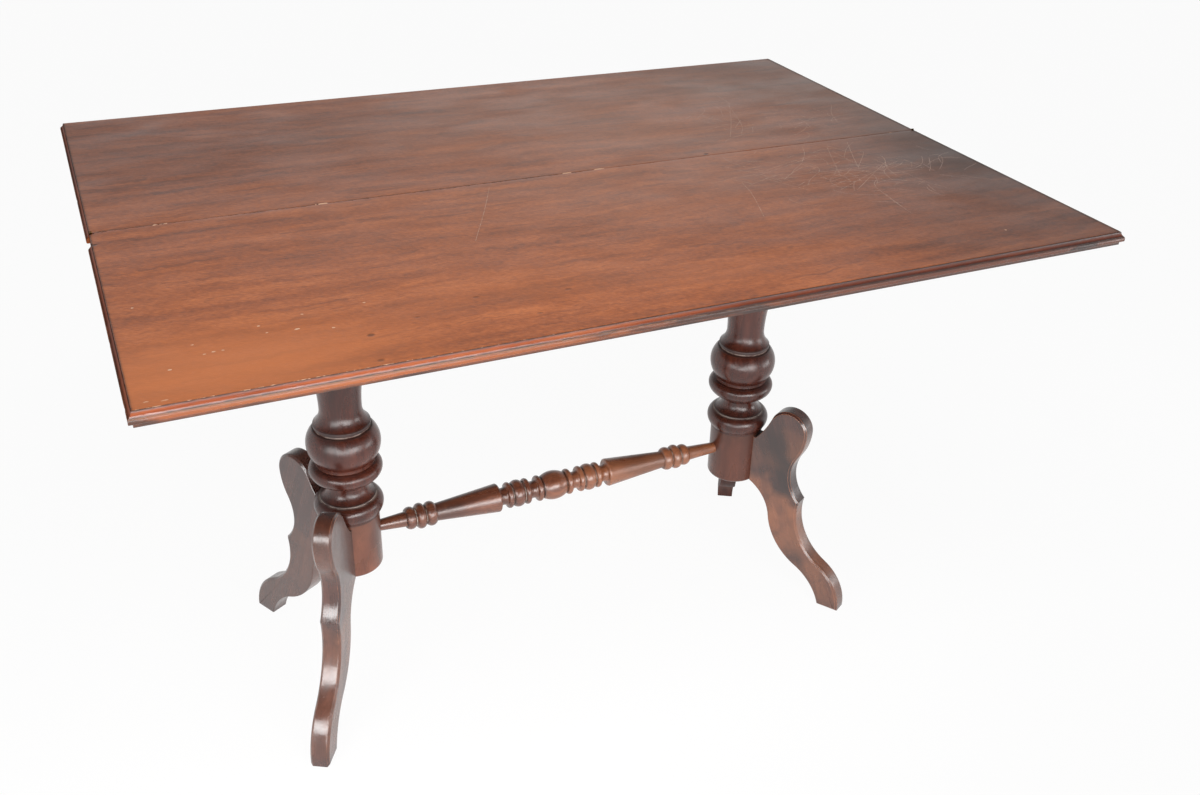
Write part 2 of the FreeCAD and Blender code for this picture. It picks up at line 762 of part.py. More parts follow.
def stretcher_outline(body):
    """Half of the stretcher's turned profile, from the middle of its ball to the last ring."""
    along = S.ball_half
    steps = [
        line_to(ZERO, S.ball_radius),
        arc_of(quarter(S.ball_end_radius, S.ball_radius, along), 1, along, S.ball_end_radius),
    ]
    along = quirk(steps, along, S.quirk_width, S.ring_edge_radius)
    along = bead(steps, along, S.ring_edge_radius, S.ring_radius, S.ring_half)
    along = bead(steps, along, S.ring_edge_radius, S.cove_radius, S.cove_half)
    along = bead(steps, along, S.ring_edge_radius, S.ring_radius, S.ring_half)
    along = quirk(steps, along, S.quirk_width, S.ring_edge_radius)
    along = bead(steps, along, S.ring_edge_radius, S.bead_radius, S.bead_half)
    along = quirk(steps, along, S.quirk_width, S.ring_edge_radius)
    along = bead(steps, along, S.ring_edge_radius, S.ring_radius, S.ring_half)
    along = bead(steps, along, S.ring_edge_radius, S.cove_radius, S.cove_half)
    steps.append(line_to(along, S.cone_lip_radius))
    nose = quarter(S.cone_lip_radius, S.cone_radius, S.cone_nose)
    along = along + S.cone_nose
    steps.append(arc_of(nose, 1, along, S.cone_radius))
    halves = S.end_ring_half + S.end_bead_half + S.last_ring_half
    along = half_span - S.stem_length - halves * 2 - S.end_quirk_width * 2
    steps.append(line_to(along, S.cone_end_radius))
    steps.append(line_to(along, S.end_edge_radius))
    along = bead(steps, along, S.end_edge_radius, S.end_ring_radius, S.end_ring_half)
    along = quirk(steps, along, S.end_quirk_width, S.end_edge_radius)
    along = bead(steps, along, S.end_edge_radius, S.end_bead_radius, S.end_bead_half)
    along = quirk(steps, along, S.end_quirk_width, S.end_edge_radius)
    along = bead(steps, along, S.end_edge_radius, S.last_ring_radius, S.last_ring_half)
    steps.append(line_to(along, ZERO))
    steps.append(line_to(ZERO, ZERO))
    return Outline(body, f"{body.Name}_profile", "XZ_Plane").loop((ZERO, ZERO), steps)


def bead(steps, along, edge, crest, half):
    """Adds an even bead, or a cove where the crest is lower, and returns where it ends."""
    side = 1 if crest.value > edge.value else -1
    radius = quarter(edge, crest, half) * side
    steps.append(arc_of(radius, side, along + half, crest))
    steps.append(arc_of(radius, side, along + half * 2, edge))
    return along + half * 2


def quirk(steps, along, width, edge):
    """Adds a narrow groove between two beads and returns where it ends."""
    steps.append(line_to(along, S.quirk_radius if width is S.quirk_width else S.cone_end_radius))
    steps.append(line_to(along + width, S.quirk_radius if width is S.quirk_width else S.cone_end_radius))
    steps.append(line_to(along + width, edge))
    return along + width


def stem_outline(body, side):
    """Half the profile of a stem, from inside the last ring to its drum, with the tenon in the drum."""
    sign = SIDES[side]
    ring = (half_span - S.stem_length) * sign
    drum = half_span * sign + S.stretcher_shift
    tip = drum + S.stretcher_tenon_length * sign
    inside = ring - S.last_ring_half * sign
    steps = [
        line_to(inside, S.stem_radius),
        line_to(ring, S.stem_radius),
        line_to(drum, S.stem_end_radius),
        line_to(tip, S.stem_end_radius),
        line_to(tip, ZERO),
        line_to(inside, ZERO),
    ]
    return Outline(body, f"{body.Name}_stem_{side}", "XZ_Plane").loop((inside, ZERO), steps)


def stretcher():
    """The turned stretcher between the drums, whose ball lies a little to the left of the middle."""
    body = new_body("stretcher")
    half = revolve(body, stretcher_outline(body), "H_Axis")
    mirror(body, [half], "YZ_Plane")
    for side in SIDES:
        revolve(body, stem_outline(body, side), "H_Axis")
    return place(body, -S.stretcher_shift, z=S.stretcher_height)


def bearer(side):
    """A bearer across a column, with its runner groove and rail mortises on local -X, the inner side."""
    body = new_body(f"bearer_{side}")
    half = S.bearer_length / 2
    tip = bearer_top - S.bearer_tip
    flat = half - S.bearer_sweep
    curve = quarter(bearer_under, tip, S.bearer_sweep)
    steps = [
        arc_of(curve, -1, half, tip),
        line_to(half, bearer_top),
        line_to(-half, bearer_top),
        line_to(-half, tip),
        arc_of(curve, -1, -flat, bearer_under),
        line_to(flat, bearer_under),
    ]
    side_view = Outline(body, f"{body.Name}_side", "YZ_Plane").loop((flat, bearer_under), steps)
    pad(body, side_view, S.bearer_width, symmetric=True)
    bore = Outline(body, f"{body.Name}_bore", "XY_Plane")
    bore.circle(ZERO, ZERO, S.column_tenon_radius + S.joint_clearance).lift(bearer_under)
    pocket(body, bore, S.bearer_height, reverse=True)
    inner = -(S.bearer_width / 2)
    groove = Outline(body, f"{body.Name}_groove", "XZ_Plane")
    groove.rectangle(inner, tongue_top - S.tongue_height - S.slide_clearance,
                     inner + S.tongue_reach + S.slide_clearance, tongue_top + S.slide_clearance)
    pocket(body, groove, rail_inner * 2, symmetric=True)
    mortise = Outline(body, f"{body.Name}_mortise", "YZ_Plane")
    mortise_half = S.rail_tenon_thickness / 2 + S.joint_clearance
    mortise.rectangle(rail_offset - mortise_half, rail_tenon_under - S.joint_clearance,
                      rail_offset + mortise_half,
                      rail_tenon_under + S.rail_tenon_height + S.joint_clearance)
    mortise.lift(inner)
    mortise_cut = pocket(body, mortise, S.rail_tenon_length + S.tenon_end_gap, reverse=True)
    mirror(body, [mortise_cut], "XZ_Plane")
    return place(body, S.column_offset * SIDES[side], turn=0 if side == "right" else HALF_TURN)


def rail(name, sign):
    """A rail between the bearers, with a tenon at each end."""
    middle = rail_offset * sign
    half = S.rail_thickness / 2
    board = box(f"{name}_board", (-bearer_inner, middle - half, rail_under),
                (bearer_inner, middle + half, bearer_top))
    tenon_half = S.rail_tenon_thickness / 2
    reach = bearer_inner + S.rail_tenon_length
    tenons = box(f"{name}_tenons", (-reach, middle - tenon_half, rail_tenon_under),
                 (reach, middle + tenon_half, rail_tenon_under + S.rail_tenon_height))
    thing = fuse(name, [board, tenons])
    thing.Label = name
    return thing


def mirrored_span(sign, inner, outer):
    """A span along X between two distances from the middle, on the left (-1) or right (+1)."""
    return (inner, outer) if sign > 0 else (-outer, -inner)


def runner_screw_places(sign):
    """Where a runner's screws stand along X and Y."""
    across = (runner_outer - S.runner_width / 2) * sign
    pitch = (runner_rear - S.runner_screw_end - S.runner_screw_first) / 2
    return [(across, S.runner_screw_first + pitch * number) for number in range(3)]


def runner_screw(name, sign, number, looseness):
    """One screw up through a runner, or its hole where it is given some looseness."""
    thing = screw(name, S.runner_screw_head + looseness, S.runner_screw_radius + looseness,
                  S.runner_screw_sink, S.runner_height + S.runner_screw_bite + looseness)
    across, along = runner_screw_places(sign)[number]
    return place(thing, across, along, leaf_under - S.runner_height)


def runner(side):
    """A runner under the rear leaf, whose tongue slides in a bearer's groove."""
    sign = SIDES[side]
    name = f"runner_{side}"
    front = runner_rear - runner_length
    under = leaf_under - S.runner_height
    low_x, high_x = mirrored_span(sign, runner_outer - S.runner_width, runner_outer)
    bar = box(f"{name}_bar", (low_x, front, under), (high_x, runner_rear, leaf_under))
    low_t, high_t = mirrored_span(sign, runner_outer - S.tongue_reach, runner_outer + S.tongue_reach)
    tongue = box(f"{name}_tongue", (low_t, front, tongue_top - S.tongue_height),
                 (high_t, runner_rear, tongue_top))
    relief = box(f"{name}_relief", (low_x, front, leaf_under - S.slide_clearance),
                 (high_x, half_seam, leaf_under))
    holes = [runner_screw(f"{name}_hole_{number}", sign, number, S.joint_clearance) for number in range(3)]
    return cut(name, fuse(f"{name}_blank", [bar, tongue]), [relief, *holes])


def runner_screws():
    """The screws of both runners."""
    screws = [
        runner_screw(f"runner_screw_{side}_{number}", sign, number, ZERO)
        for side, sign in SIDES.items()
        for number in range(3)
    ]
    return group("runner_screws", screws)


def plate_screw(name, sign, back, number, looseness):
    """One screw into a leaf's end through a hinge plate, or its hole where it is given some looseness."""
    thing = screw(name, S.plate_screw_head + looseness, S.plate_screw_radius + looseness,
                  S.plate_screw_sink, S.plate_screw_length + looseness)
    along = (S.plate_inset + S.plate_screw_first + S.plate_screw_pitch * number) * back
    return place(thing, half_length * sign, along, plate_middle, turn=-90 * sign,
                 axis=FreeCAD.Vector(0, 1, 0))


def plate_screws(name, back):
    """The screws of one leaf's two hinge plates."""
    screws = [
        plate_screw(f"{name}_{side}_{number}", sign, back, number, ZERO)
        for side, sign in SIDES.items()
        for number in range(2)
    ]
    return group(name, screws)


def eye_span(sign, back):
    """The span along X of the fixed (+1) or moving (-1) hinge eye on one side."""
    if back > 0:
        return mirrored_span(sign, half_length - eye_width, half_length)
    inner = half_length - S.plate_thickness
    return mirrored_span(sign, inner, inner + eye_width)


def hinge_plate(name, side, back):
    """A hinge plate with its eye on the seam's line, on the rear (+1) or front (-1) leaf."""
    sign = SIDES[side]
    low_x, high_x = mirrored_span(sign, half_length - S.plate_thickness, half_length)
    low_y, high_y = mirrored_span(back, S.plate_inset, S.plate_inset + S.plate_length)
    strap = box(f"{name}_strap", (low_x, low_y, plate_under), (high_x, high_y, plate_top))
    low_e, high_e = eye_span(sign, back)
    low_n, high_n = mirrored_span(back, half_seam, S.neck_width)
    neck = box(f"{name}_neck", (low_e, low_n, plate_middle),
               (high_e, high_n, S.top_height - S.eye_clearance))
    eye = cylinder_along_x(f"{name}_eye", S.eye_radius, low_e, ZERO, hinge_axis, eye_width)
    bore_radius = S.pin_radius if back > 0 else S.pin_radius + S.pin_clearance
    bore = cylinder_along_x(f"{name}_bore", bore_radius, low_e, ZERO, hinge_axis, eye_width)
    holes = [plate_screw(f"{name}_hole_{number}", sign, back, number, S.pin_clearance) for number in range(2)]
    return cut(name, fuse(f"{name}_blank", [strap, neck, eye]), [bore, *holes])


def hinge_pin(side):
    """The pin through both eyes of a hinge."""
    low_x, _ = mirrored_span(SIDES[side], half_length - S.plate_thickness, half_length)
    name = f"hinge_pin_{side}"
    pin = cylinder_along_x(name, S.pin_radius, low_x, ZERO, hinge_axis, S.plate_thickness)
    pin.Label = name
    return pin


def hinge_recess(name, side, back):
    """What is cut from a leaf for a hinge: the plate's bed, the neck's slot, the eye's hollow and the holes."""
    sign = SIDES[side]
    depth = S.plate_thickness + S.recess_clearance
    low_x, high_x = mirrored_span(sign, half_length - depth, half_length)
    far_end = S.plate_inset + S.plate_length + S.recess_clearance
    low_y, high_y = mirrored_span(back, ZERO, far_end)
    bed = box(f"{name}_bed", (low_x, low_y, plate_under - S.recess_clearance),
              (high_x, high_y, plate_top + S.recess_clearance))
    low_n, high_n = mirrored_span(back, ZERO, S.neck_width + S.recess_clearance)
    slot = box(f"{name}_slot", (low_x, low_n, plate_middle), (high_x, high_n, S.top_height))
    hollow = cylinder_along_x(f"{name}_hollow", S.eye_radius + S.eye_clearance, low_x, ZERO, hinge_axis, depth)
    holes = [plate_screw(f"{name}_hole_{number}", sign, back, number, S.pin_clearance) for number in range(2)]
    return [bed, slot, hollow, *holes]


def leaf(name, back):
    """A leaf panel on the rear (+1) or front (-1) of the seam, with its hinge recesses and screw holes."""
    low_y, high_y = mirrored_span(back, half_seam, S.leaf_depth)
    board = box(f"{name}_board", (-half_length, low_y, leaf_under), (half_length, high_y, S.top_height))
    tools = []
    for side, sign in SIDES.items():
        tools += hinge_recess(f"{name}_hinge_{side}", side, back)
        if back > 0:
            tools += [runner_screw(f"{name}_screw_{side}_{number}", sign, number, S.joint_clearance)
                      for number in range(3)]
    return cut(name, board, tools)


def moulding_outline(body):
    """The section of the edge moulding: quirk, cove, rounded nose and undercut, outward along -Y."""
    cove_x = S.moulding_flat + (S.moulding_cove_reach - S.moulding_flat) / 3
    cove_z = S.moulding_quirk + (S.moulding_cove_drop - S.moulding_quirk) * 2 / 3
    nose_middle = (S.moulding_nose_drop + S.moulding_undercut) / 2
    steps = [
        line_to(-S.moulding_flat, -S.moulding_quirk),
        arc_over(-cove_x, -cove_z, -S.moulding_cove_reach, -S.moulding_cove_drop),
        line_to(-S.moulding_nose_reach, -S.moulding_nose_drop),
        arc_over(-S.moulding_reach, -nose_middle, -S.moulding_nose_reach, -S.moulding_undercut),
        line_to(-S.moulding_foot, -S.moulding_undercut),
        line_to(-S.moulding_foot, -S.leaf_thickness),
        line_to(ZERO, -S.leaf_thickness),
        line_to(ZERO, -S.moulding_quirk),
    ]
    return Outline(body, f"{body.Name}_section", "YZ_Plane").loop((ZERO, -S.moulding_quirk), steps)


def moulding(name, length, mitres, x, y, turn):
    """A strip of moulding along local +X, outward along local -Y, mitred at its start or end or both."""
    body = new_body(name)
    at_start, at_end = mitres
    section = moulding_outline(body)
    spare = S.moulding_reach
    if at_start:
        section.lift(-spare)
    pad(body, section, length + spare * (at_start + at_end))
    corner = spare * 2
    if at_start:
        first = Outline(body, f"{name}_first_mitre", "XY_Plane")
        first.loop((ZERO, ZERO), [line_to(-corner, -corner), line_to(-corner, ZERO), line_to(ZERO, ZERO)])
        pocket(body, first, S.leaf_thickness * 2, symmetric=True)
    if at_end:
        last = Outline(body, f"{name}_last_mitre", "XY_Plane")
        last.loop((length, ZERO), [line_to(length + corner, -corner), line_to(length + corner, ZERO),
                                   line_to(length, ZERO)])
        pocket(body, last, S.leaf_thickness * 2, symmetric=True)
    return place(body, x, y, S.top_height, turn=turn)


def mouldings():
    """The six strips of moulding round the two leaves."""
    end_length = S.leaf_depth - half_seam
    short_length = end_length - S.moulding_break
    short_start = -(half_seam + S.moulding_break)
    both = (1, 1)
    return [
        moulding("front_moulding_long", S.top_length, both, -half_length, -S.leaf_depth, 0),
        moulding("front_moulding_left", short_length, (0, 1), -half_length, short_start, -90),
        moulding("front_moulding_right", end_length, (1, 0), half_length, -S.leaf_depth, 90),
        moulding("rear_moulding_long", S.top_length, both, half_length, S.leaf_depth, HALF_TURN),
        moulding("rear_moulding_left", end_length, (1, 0), -half_length, S.leaf_depth, -90),
        moulding("rear_moulding_right", end_length, (0, 1), half_length, half_seam, 90),
    ]


def build():
    """Every sub-part of the table."""
    parts = [*legs(), stretcher(), tenon_wedges(), rail("rail_front", -1), rail("rail_rear", 1)]
    parts += [runner_screws(), leaf("rear_leaf", 1), leaf("front_leaf", -1), *mouldings()]
    parts += [plate_screws("fixed_plate_screws", 1), plate_screws("moving_plate_screws", -1)]
    for side in SIDES:
        parts += [column(side), bearer(side), runner(side), hinge_pin(side)]
        parts.append(hinge_plate(f"fixed_hinge_plate_{side}", side, 1))
        parts.append(hinge_plate(f"moving_hinge_plate_{side}", side, -1))
    return parts


def check(parts):
    """Stops if an object of the document failed or a sub-part's shape isn't valid."""
    doc.recompute()
    for thing in doc.Objects:
        if "Invalid" in thing.State or "Error" in thing.State:
            raise RuntimeError(f"{thing.Label} failed: {thing.State}")
    for part in parts:
        if part.Shape.isNull() or not part.Shape.isValid() or not part.Shape.Solids:
            raise RuntimeError(f"{part.Label} has no valid shape")


def export(parts):
    """Writes each sub-part to its own file."""
    os.makedirs("parts", exist_ok=True)
    for part in parts:
        part.Shape.exportStep(f"parts/{part.Label}.step")
        print(part.Label, len(part.Shape.Solids), round(part.Shape.Volume))


table_parts = build()
check(table_parts)
export(table_parts)
print("slide travel", slide_travel.value, "hinge axis", hinge_axis.value)
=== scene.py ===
"""Looks of a fold-over dining table: two polished leaves with a moulded edge on turned columns and scrolled legs."""

import logging
import math
import random
from dataclasses import dataclass, replace
from enum import Enum
from typing import Optional, Sequence, Union

import bmesh
import bpy
import numpy as np
from bpy.types import Material, Mesh, NodeSocket, Object
from mathutils import Matrix, Vector, noise


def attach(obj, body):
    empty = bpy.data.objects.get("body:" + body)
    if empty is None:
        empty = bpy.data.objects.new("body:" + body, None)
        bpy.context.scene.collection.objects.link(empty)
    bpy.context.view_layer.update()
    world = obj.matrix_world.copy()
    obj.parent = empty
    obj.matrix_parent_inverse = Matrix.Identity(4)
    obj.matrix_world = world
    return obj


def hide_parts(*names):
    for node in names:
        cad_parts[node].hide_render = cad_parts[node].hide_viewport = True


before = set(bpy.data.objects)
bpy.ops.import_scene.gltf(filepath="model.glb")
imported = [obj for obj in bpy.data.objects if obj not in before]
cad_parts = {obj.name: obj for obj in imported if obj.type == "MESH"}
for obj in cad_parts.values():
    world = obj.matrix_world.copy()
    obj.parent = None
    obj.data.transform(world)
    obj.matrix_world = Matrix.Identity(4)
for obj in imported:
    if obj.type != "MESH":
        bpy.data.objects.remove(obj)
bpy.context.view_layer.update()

LOG = logging.getLogger("table")
MM = 0.001
MERGE = 2e-6

Point = tuple[float, float]
Colour = tuple[float, float, float, float]
Feed = Union[NodeSocket, float, Sequence[float], str, bpy.types.ID, None]


class Body(Enum):
    """The bodies of the table that move on their own."""

    BASE = "base"
    TOP = "top_slide"
    FRONT = "front_leaf"


class Slot(Enum):
    """The record's finishes."""

    TOP = "top_wood"
    MOULDING = "moulding_wood"
    COLUMN = "column_wood"
    LEG = "leg_wood"
    STRETCHER = "stretcher_wood"
    FRAME = "frame_wood"
    BRASS = "hinge_brass"
    STEEL = "steel"


class Grain(Enum):
    """The way that a piece's fibres run, as the stretch of its pattern along X, Y and Z."""

    LENGTH = (0.03, 1.0, 1.0)
    DEPTH = (1.0, 0.03, 1.0)
    HEIGHT = (1.0, 1.0, 0.03)


class End(Enum):
    """How a strip of moulding ends: the outward distance adds this share to its length."""

    SQUARE = 0.0
    MITRE = 1.0


def srgb(red: float, green: float, blue: float) -> Colour:
    """Turns a colour written in screen values into a shader's linear values.

    Args:
        red: Red, 0 to 255.
        green: Green, 0 to 255.
        blue: Blue, 0 to 255.

    Returns:
        The linear colour with full opacity.
    """
    linear = [v / 3294.6 if v <= 10.3 else ((v / 255 + 0.055) / 1.055) ** 2.4 for v in (red, green, blue)]
    return (linear[0], linear[1], linear[2], 1.0)


# Dark grime; in the inner corners of turned and moulded parts it also stands for painted shade.
SOOT_AND_SHADE = srgb(30, 14, 10)
# Pale dust; in the quirks it also stands for painted highlights.
DUST_AND_HIGHLIGHT = srgb(190, 178, 168)
# Faded wood with painted shade, towards the right of the top.
FADED_AND_SHADE = srgb(184, 184, 186)
# Painted shade on the top.
PAINTED_SHADE = srgb(156, 148, 136)
# Painted sheen on the top.
PAINTED_SHEEN = srgb(150, 126, 112)


def carry(mesh: Mesh, name: str, values: Sequence[object]) -> None:
    """Keeps a number or a vector on each point of a mesh.

    Args:
        mesh: The mesh.
        name: The attribute's name.
        values: One number or vector for each point.
    """
    table = np.array(values, dtype=float)
    kind, key = ("FLOAT_VECTOR", "vector") if table.ndim > 1 else ("FLOAT", "value")
    mesh.attributes.new(name, kind, "POINT").data.foreach_set(key, table.ravel())


def tube_faces(rings: int, count: int) -> list[tuple[int, ...]]:
    """Joins rings of points into a closed tube.

    Args:
        rings: How many rings there are.
        count: How many points each has.

    Returns:
        The faces, both ends among them.
    """
    faces: list[tuple[int, ...]] = []
    for first in range(0, (rings - 1) * count, count):
        for number in range(count):
            following = (number + 1) % count
            faces.append((first + number, first + following, first + count + following, first + count + number))
    return faces + [tuple(range(count)), tuple(range((rings - 1) * count, rings * count))]


def box_mesh(name: str, spans: Sequence[tuple[Vector, Vector]]) -> Mesh:
    """Makes plain boxes as one mesh.

    Args:
        name: The mesh's name.
        spans: Each box's middle and size in metres.

    Returns:
        The mesh.
    """
    work = bmesh.new()
    for middle, size in spans:
        bmesh.ops.create_cube(work, size=1.0, matrix=Matrix.Translation(middle) @ Matrix.Diagonal((*size, 1.0)))
    mesh = bpy.data.meshes.new(name)
    work.to_mesh(mesh)
    work.free()
    return mesh


def linked(name: str, mesh: Mesh) -> Object:
    """Puts a mesh into the scene.

    Args:
        name: The object's name.
        mesh: Its mesh.

    Returns:
        The new object.
    """
    item = bpy.data.objects.new(name, mesh)
    bpy.context.scene.collection.objects.link(item)
    return item


def plain(item: Object) -> Mesh:
    """Gives the plain mesh that an object's modifiers make."""
    graph = bpy.context.evaluated_depsgraph_get()
    return bpy.data.meshes.new_from_object(item.evaluated_get(graph), depsgraph=graph)


def carved(blank: Mesh, tool: Mesh, crossing: bool = False) -> Mesh:
    """Cuts one mesh away from another.

    Args:
        blank: The mesh to cut.
        tool: The mesh that is cut away.
        crossing: Whether the tool's own parts cross.

    Returns:
        The cut mesh.
    """
    work, knife = linked("blank", blank), linked("tool", tool)
    cut = work.modifiers.new("cut", "BOOLEAN")
    cut.operation, cut.solver, cut.use_self, cut.object = "DIFFERENCE", "EXACT", crossing, knife
    done = plain(work)
    work.modifiers.remove(cut)
    for item in (work, knife):
        bpy.data.objects.remove(item)
    return done


class Graph:
    """Writes a node tree as short calls."""

    def __init__(self, tree: bpy.types.NodeTree) -> None:
        """Takes the tree to write in."""
        self.tree = tree

    def feed(self, socket: NodeSocket, value: Feed) -> None:
        """Links a socket to another, or sets its value.

        Args:
            socket: The input to feed.
            value: Another node's output, or a plain value.
        """
        if isinstance(value, NodeSocket):
            self.tree.links.new(value, socket)
        elif value is not None:
            socket.default_value = value

    def node(self, kind: str, feeds: Optional[dict[Union[str, int], Feed]] = None,
             **settings: object) -> bpy.types.Node:
        """Adds a node.

        Args:
            kind: Blender's name of the node type.
            feeds: What goes into its inputs, by name or number.
            settings: The node's own choices.

        Returns:
            The new node.
        """
        made = self.tree.nodes.new(kind)
        for name, value in settings.items():
            setattr(made, name, value)
        for key, value in (feeds or {}).items():
            self.feed(made.inputs[key], value)
        return made

    def math(self, operation: str, first: Feed, second: Feed = None) -> NodeSocket:
        """Gives one arithmetic step on two numbers."""
        return self.node("ShaderNodeMath", {0: first, 1: second}, operation=operation).outputs[0]

    def times(self, first: Feed, second: Feed) -> NodeSocket:
        """Multiplies two numbers."""
        return self.math("MULTIPLY", first, second)

    def larger(self, first: Feed, second: Feed) -> NodeSocket:
        """Gives the larger of two numbers."""
        return self.math("MAXIMUM", first, second)

    def span(self, value: Feed, low: Feed, high: Feed, to_low: Feed = 0.0, to_high: Feed = 1.0) -> NodeSocket:
        """Maps a range of values smoothly on another, and holds its ends.

        Args:
            value: The number to map.
            low: The start of its range.
            high: The end of its range.
            to_low: What the start becomes.
            to_high: What the end becomes.

        Returns:
            The mapped number.
        """
        feeds = {0: value, 1: low, 2: high, 3: to_low, 4: to_high}
        return self.node("ShaderNodeMapRange", feeds, interpolation_type="SMOOTHSTEP").outputs[0]

    def total(self, *terms: Feed) -> NodeSocket:
        """Adds numbers up.

        Args:
            terms: The numbers.

        Returns:
            Their sum.
        """
        running = terms[0]
        for term in terms[1:]:
            running = self.math("ADD", running, term)
        return running

    def noise(self, where: Feed, scale: Feed, detail: float = 2.0, bend: float = 0.0,
              seed: Feed = 0.0) -> NodeSocket:
        """Gives cloudy noise.

        Args:
            where: The coordinates to read it at.
            scale: Clouds to the metre.
            detail: How many finer layers it has.
            bend: How far it is twisted by itself.
            seed: Which of its patterns is taken.

        Returns:
            A number about one half.
        """
        feeds = {"Vector": where, "W": seed, "Scale": scale, "Detail": detail, "Distortion": bend}
        return self.node("ShaderNodeTexNoise", feeds, noise_dimensions="4D").outputs[0]


class Paint(Graph):
    """A material under construction."""

    def __init__(self, name: str, place: str = "") -> None:
        """Starts an empty material.

        Args:
            name: The finish's name.
            place: The mesh's own attribute that the pattern follows, or none for the object's coordinates.
        """
        self.material = bpy.data.materials.new(name)
        self.material.use_nodes = True
        super().__init__(self.material.node_tree)
        self.tree.nodes.clear()
        if place:
            self.place = self.node("ShaderNodeAttribute", attribute_name=place).outputs["Vector"]
        else:
            self.place = self.node("ShaderNodeTexCoord").outputs["Object"]

    def stretch(self, scale: Sequence[float], shift: Sequence[float] = (0, 0, 0), turn: float = 0.0,
                where: Feed = None) -> NodeSocket:
        """Gives coordinates, turned about Z, scaled and moved.

        Args:
            scale: The stretch along X, Y and Z.
            shift: The move along X, Y and Z.
            turn: The turn about Z.
            where: The coordinates to take, or none for the pattern's own.

        Returns:
            The new coordinates.
        """
        base = self.place if where is None else where
        if turn:
            base = self.node("ShaderNodeMapping", {"Vector": base, "Rotation": (0, 0, turn)}).outputs[0]
        return self.node("ShaderNodeMapping", {"Vector": base, "Scale": scale, "Location": shift}).outputs[0]

    def shaken(self, where: Feed, scale: float, reach: float) -> NodeSocket:
        """Gives coordinates that wander.

        Args:
            where: The coordinates to start from.
            scale: Turns to the metre.
            reach: How far they wander, half of it each way.

        Returns:
            The new coordinates.
        """
        colour = self.node("ShaderNodeTexNoise", {"Vector": where, "Scale": scale, "Detail": 2.0}).outputs["Color"]
        centred = self.node("ShaderNodeVectorMath", {0: colour, 1: (0.5, 0.5, 0.5)}, operation="SUBTRACT").outputs[0]
        moved = self.node("ShaderNodeVectorMath", {0: centred, "Scale": reach}, operation="SCALE").outputs[0]
        return self.node("ShaderNodeVectorMath", {0: where, 1: moved}, operation="ADD").outputs[0]

    def marks(self, where: Feed, marks: Sequence["Mark"], soft: float) -> NodeSocket:
        """Draws marks at their places.

        Args:
            where: The coordinates to draw them on, by X and Y.
            marks: The marks to draw.
            soft: How much of a mark is its faded rim.

        Returns:
            Each mark's strength on it, and 0 elsewhere.
        """
        cover: Feed = 0.0
        for mark in marks:
            wide, deep = mark.size * mark.long * MM, mark.size * MM
            local = self.stretch((1 / wide, 1 / deep, 0), (-mark.x * MM / wide, -mark.y * MM / deep, 0), where=where)
            far = self.node("ShaderNodeVectorMath", {0: local}, operation="LENGTH").outputs["Value"]
            cover = self.larger(cover, self.span(far, 1.0 + soft / 2, 1.0 - soft / 2, 0.0, mark.strength))
        return cover

    def axis(self, name: str) -> NodeSocket:
        """Gives one of the coordinates."""
        return self.node("ShaderNodeSeparateXYZ", {0: self.place}).outputs[name]

    def attribute(self, name: str) -> NodeSocket:
        """Gives a number that the mesh carries."""
        return self.node("ShaderNodeAttribute", attribute_name=name).outputs["Fac"]

    def cells(self, where: Feed, scale: float) -> bpy.types.Node:
        """Gives a pattern of scattered cells."""
        return self.node("ShaderNodeTexVoronoi", {"Vector": where, "Scale": scale})

    def mix(self, share: Feed, first: Feed, second: Feed, kind: str = "MIX") -> NodeSocket:
        """Mixes two colours.

        Args:
            share: How much of the second is taken.
            first: The colour below.
            second: The colour above.
            kind: Blender's name of the way of mixing.

        Returns:
            The mixed colour.
        """
        made = self.tree.nodes.new("ShaderNodeMix")
        made.data_type, made.blend_type = "RGBA", kind
        inputs = {socket.identifier: socket for socket in made.inputs}
        for key, value in (("Factor_Float", share), ("A_Color", first), ("B_Color", second)):
            self.feed(inputs[key], value)
        return next(socket for socket in made.outputs if socket.identifier == "Result_Color")

    def ramp(self, value: Feed, stops: Sequence[tuple[float, Colour]]) -> NodeSocket:
        """Turns a number into a colour.

        Args:
            value: The number.
            stops: Numbers along the scale, each with its colour.

        Returns:
            The colour.
        """
        made = self.node("ShaderNodeValToRGB", {0: value})
        ramp = made.color_ramp
        while len(ramp.elements) < len(stops):
            ramp.elements.new(1.0)
        for element, (position, colour) in zip(ramp.elements, stops):
            element.position, element.color = position, colour
        return made.outputs[0]

    def bumps(self, *layers: tuple[Feed, float]) -> NodeSocket:
        """Lays heights over each other as one bumped normal.

        Args:
            layers: Each height with its depth in metres.

        Returns:
            The bumped normal.
        """
        normal = None
        for height, depth in layers:
            feeds = {"Height": height, "Distance": depth, "Strength": 1.0, "Normal": normal}
            normal = self.node("ShaderNodeBump", feeds).outputs[0]
        return normal

    def shade(self, colour: Feed, roughness: Feed, normal: Feed, metallic: float = 0.0, specular: float = 0.5,
              haze: float = 0.0) -> Material:
        """Closes the material.

        Args:
            colour: The base colour.
            roughness: The roughness.
            normal: The bumped normal.
            metallic: 1 for bare metal.
            specular: The reflection's level.
            haze: The share of pale, dry wax on it.

        Returns:
            The finished material.
        """
        feeds = {"Base Color": colour, "Roughness": roughness, "Normal": normal, "Metallic": metallic,
                 "Specular IOR Level": specular, "Sheen Weight": haze, "Sheen Roughness": 0.45}
        surface = self.node("ShaderNodeBsdfPrincipled", feeds).outputs[0]
        self.node("ShaderNodeOutputMaterial", {"Surface": surface})
        return self.material


@dataclass(frozen=True)
class Mark:
    """A knock, spot, rubbed place or patch of painted light or shade, in millimetres on its surface."""

    x: float
    y: float
    size: float = 1.3
    long: float = 1.6
    strength: float = 1.0


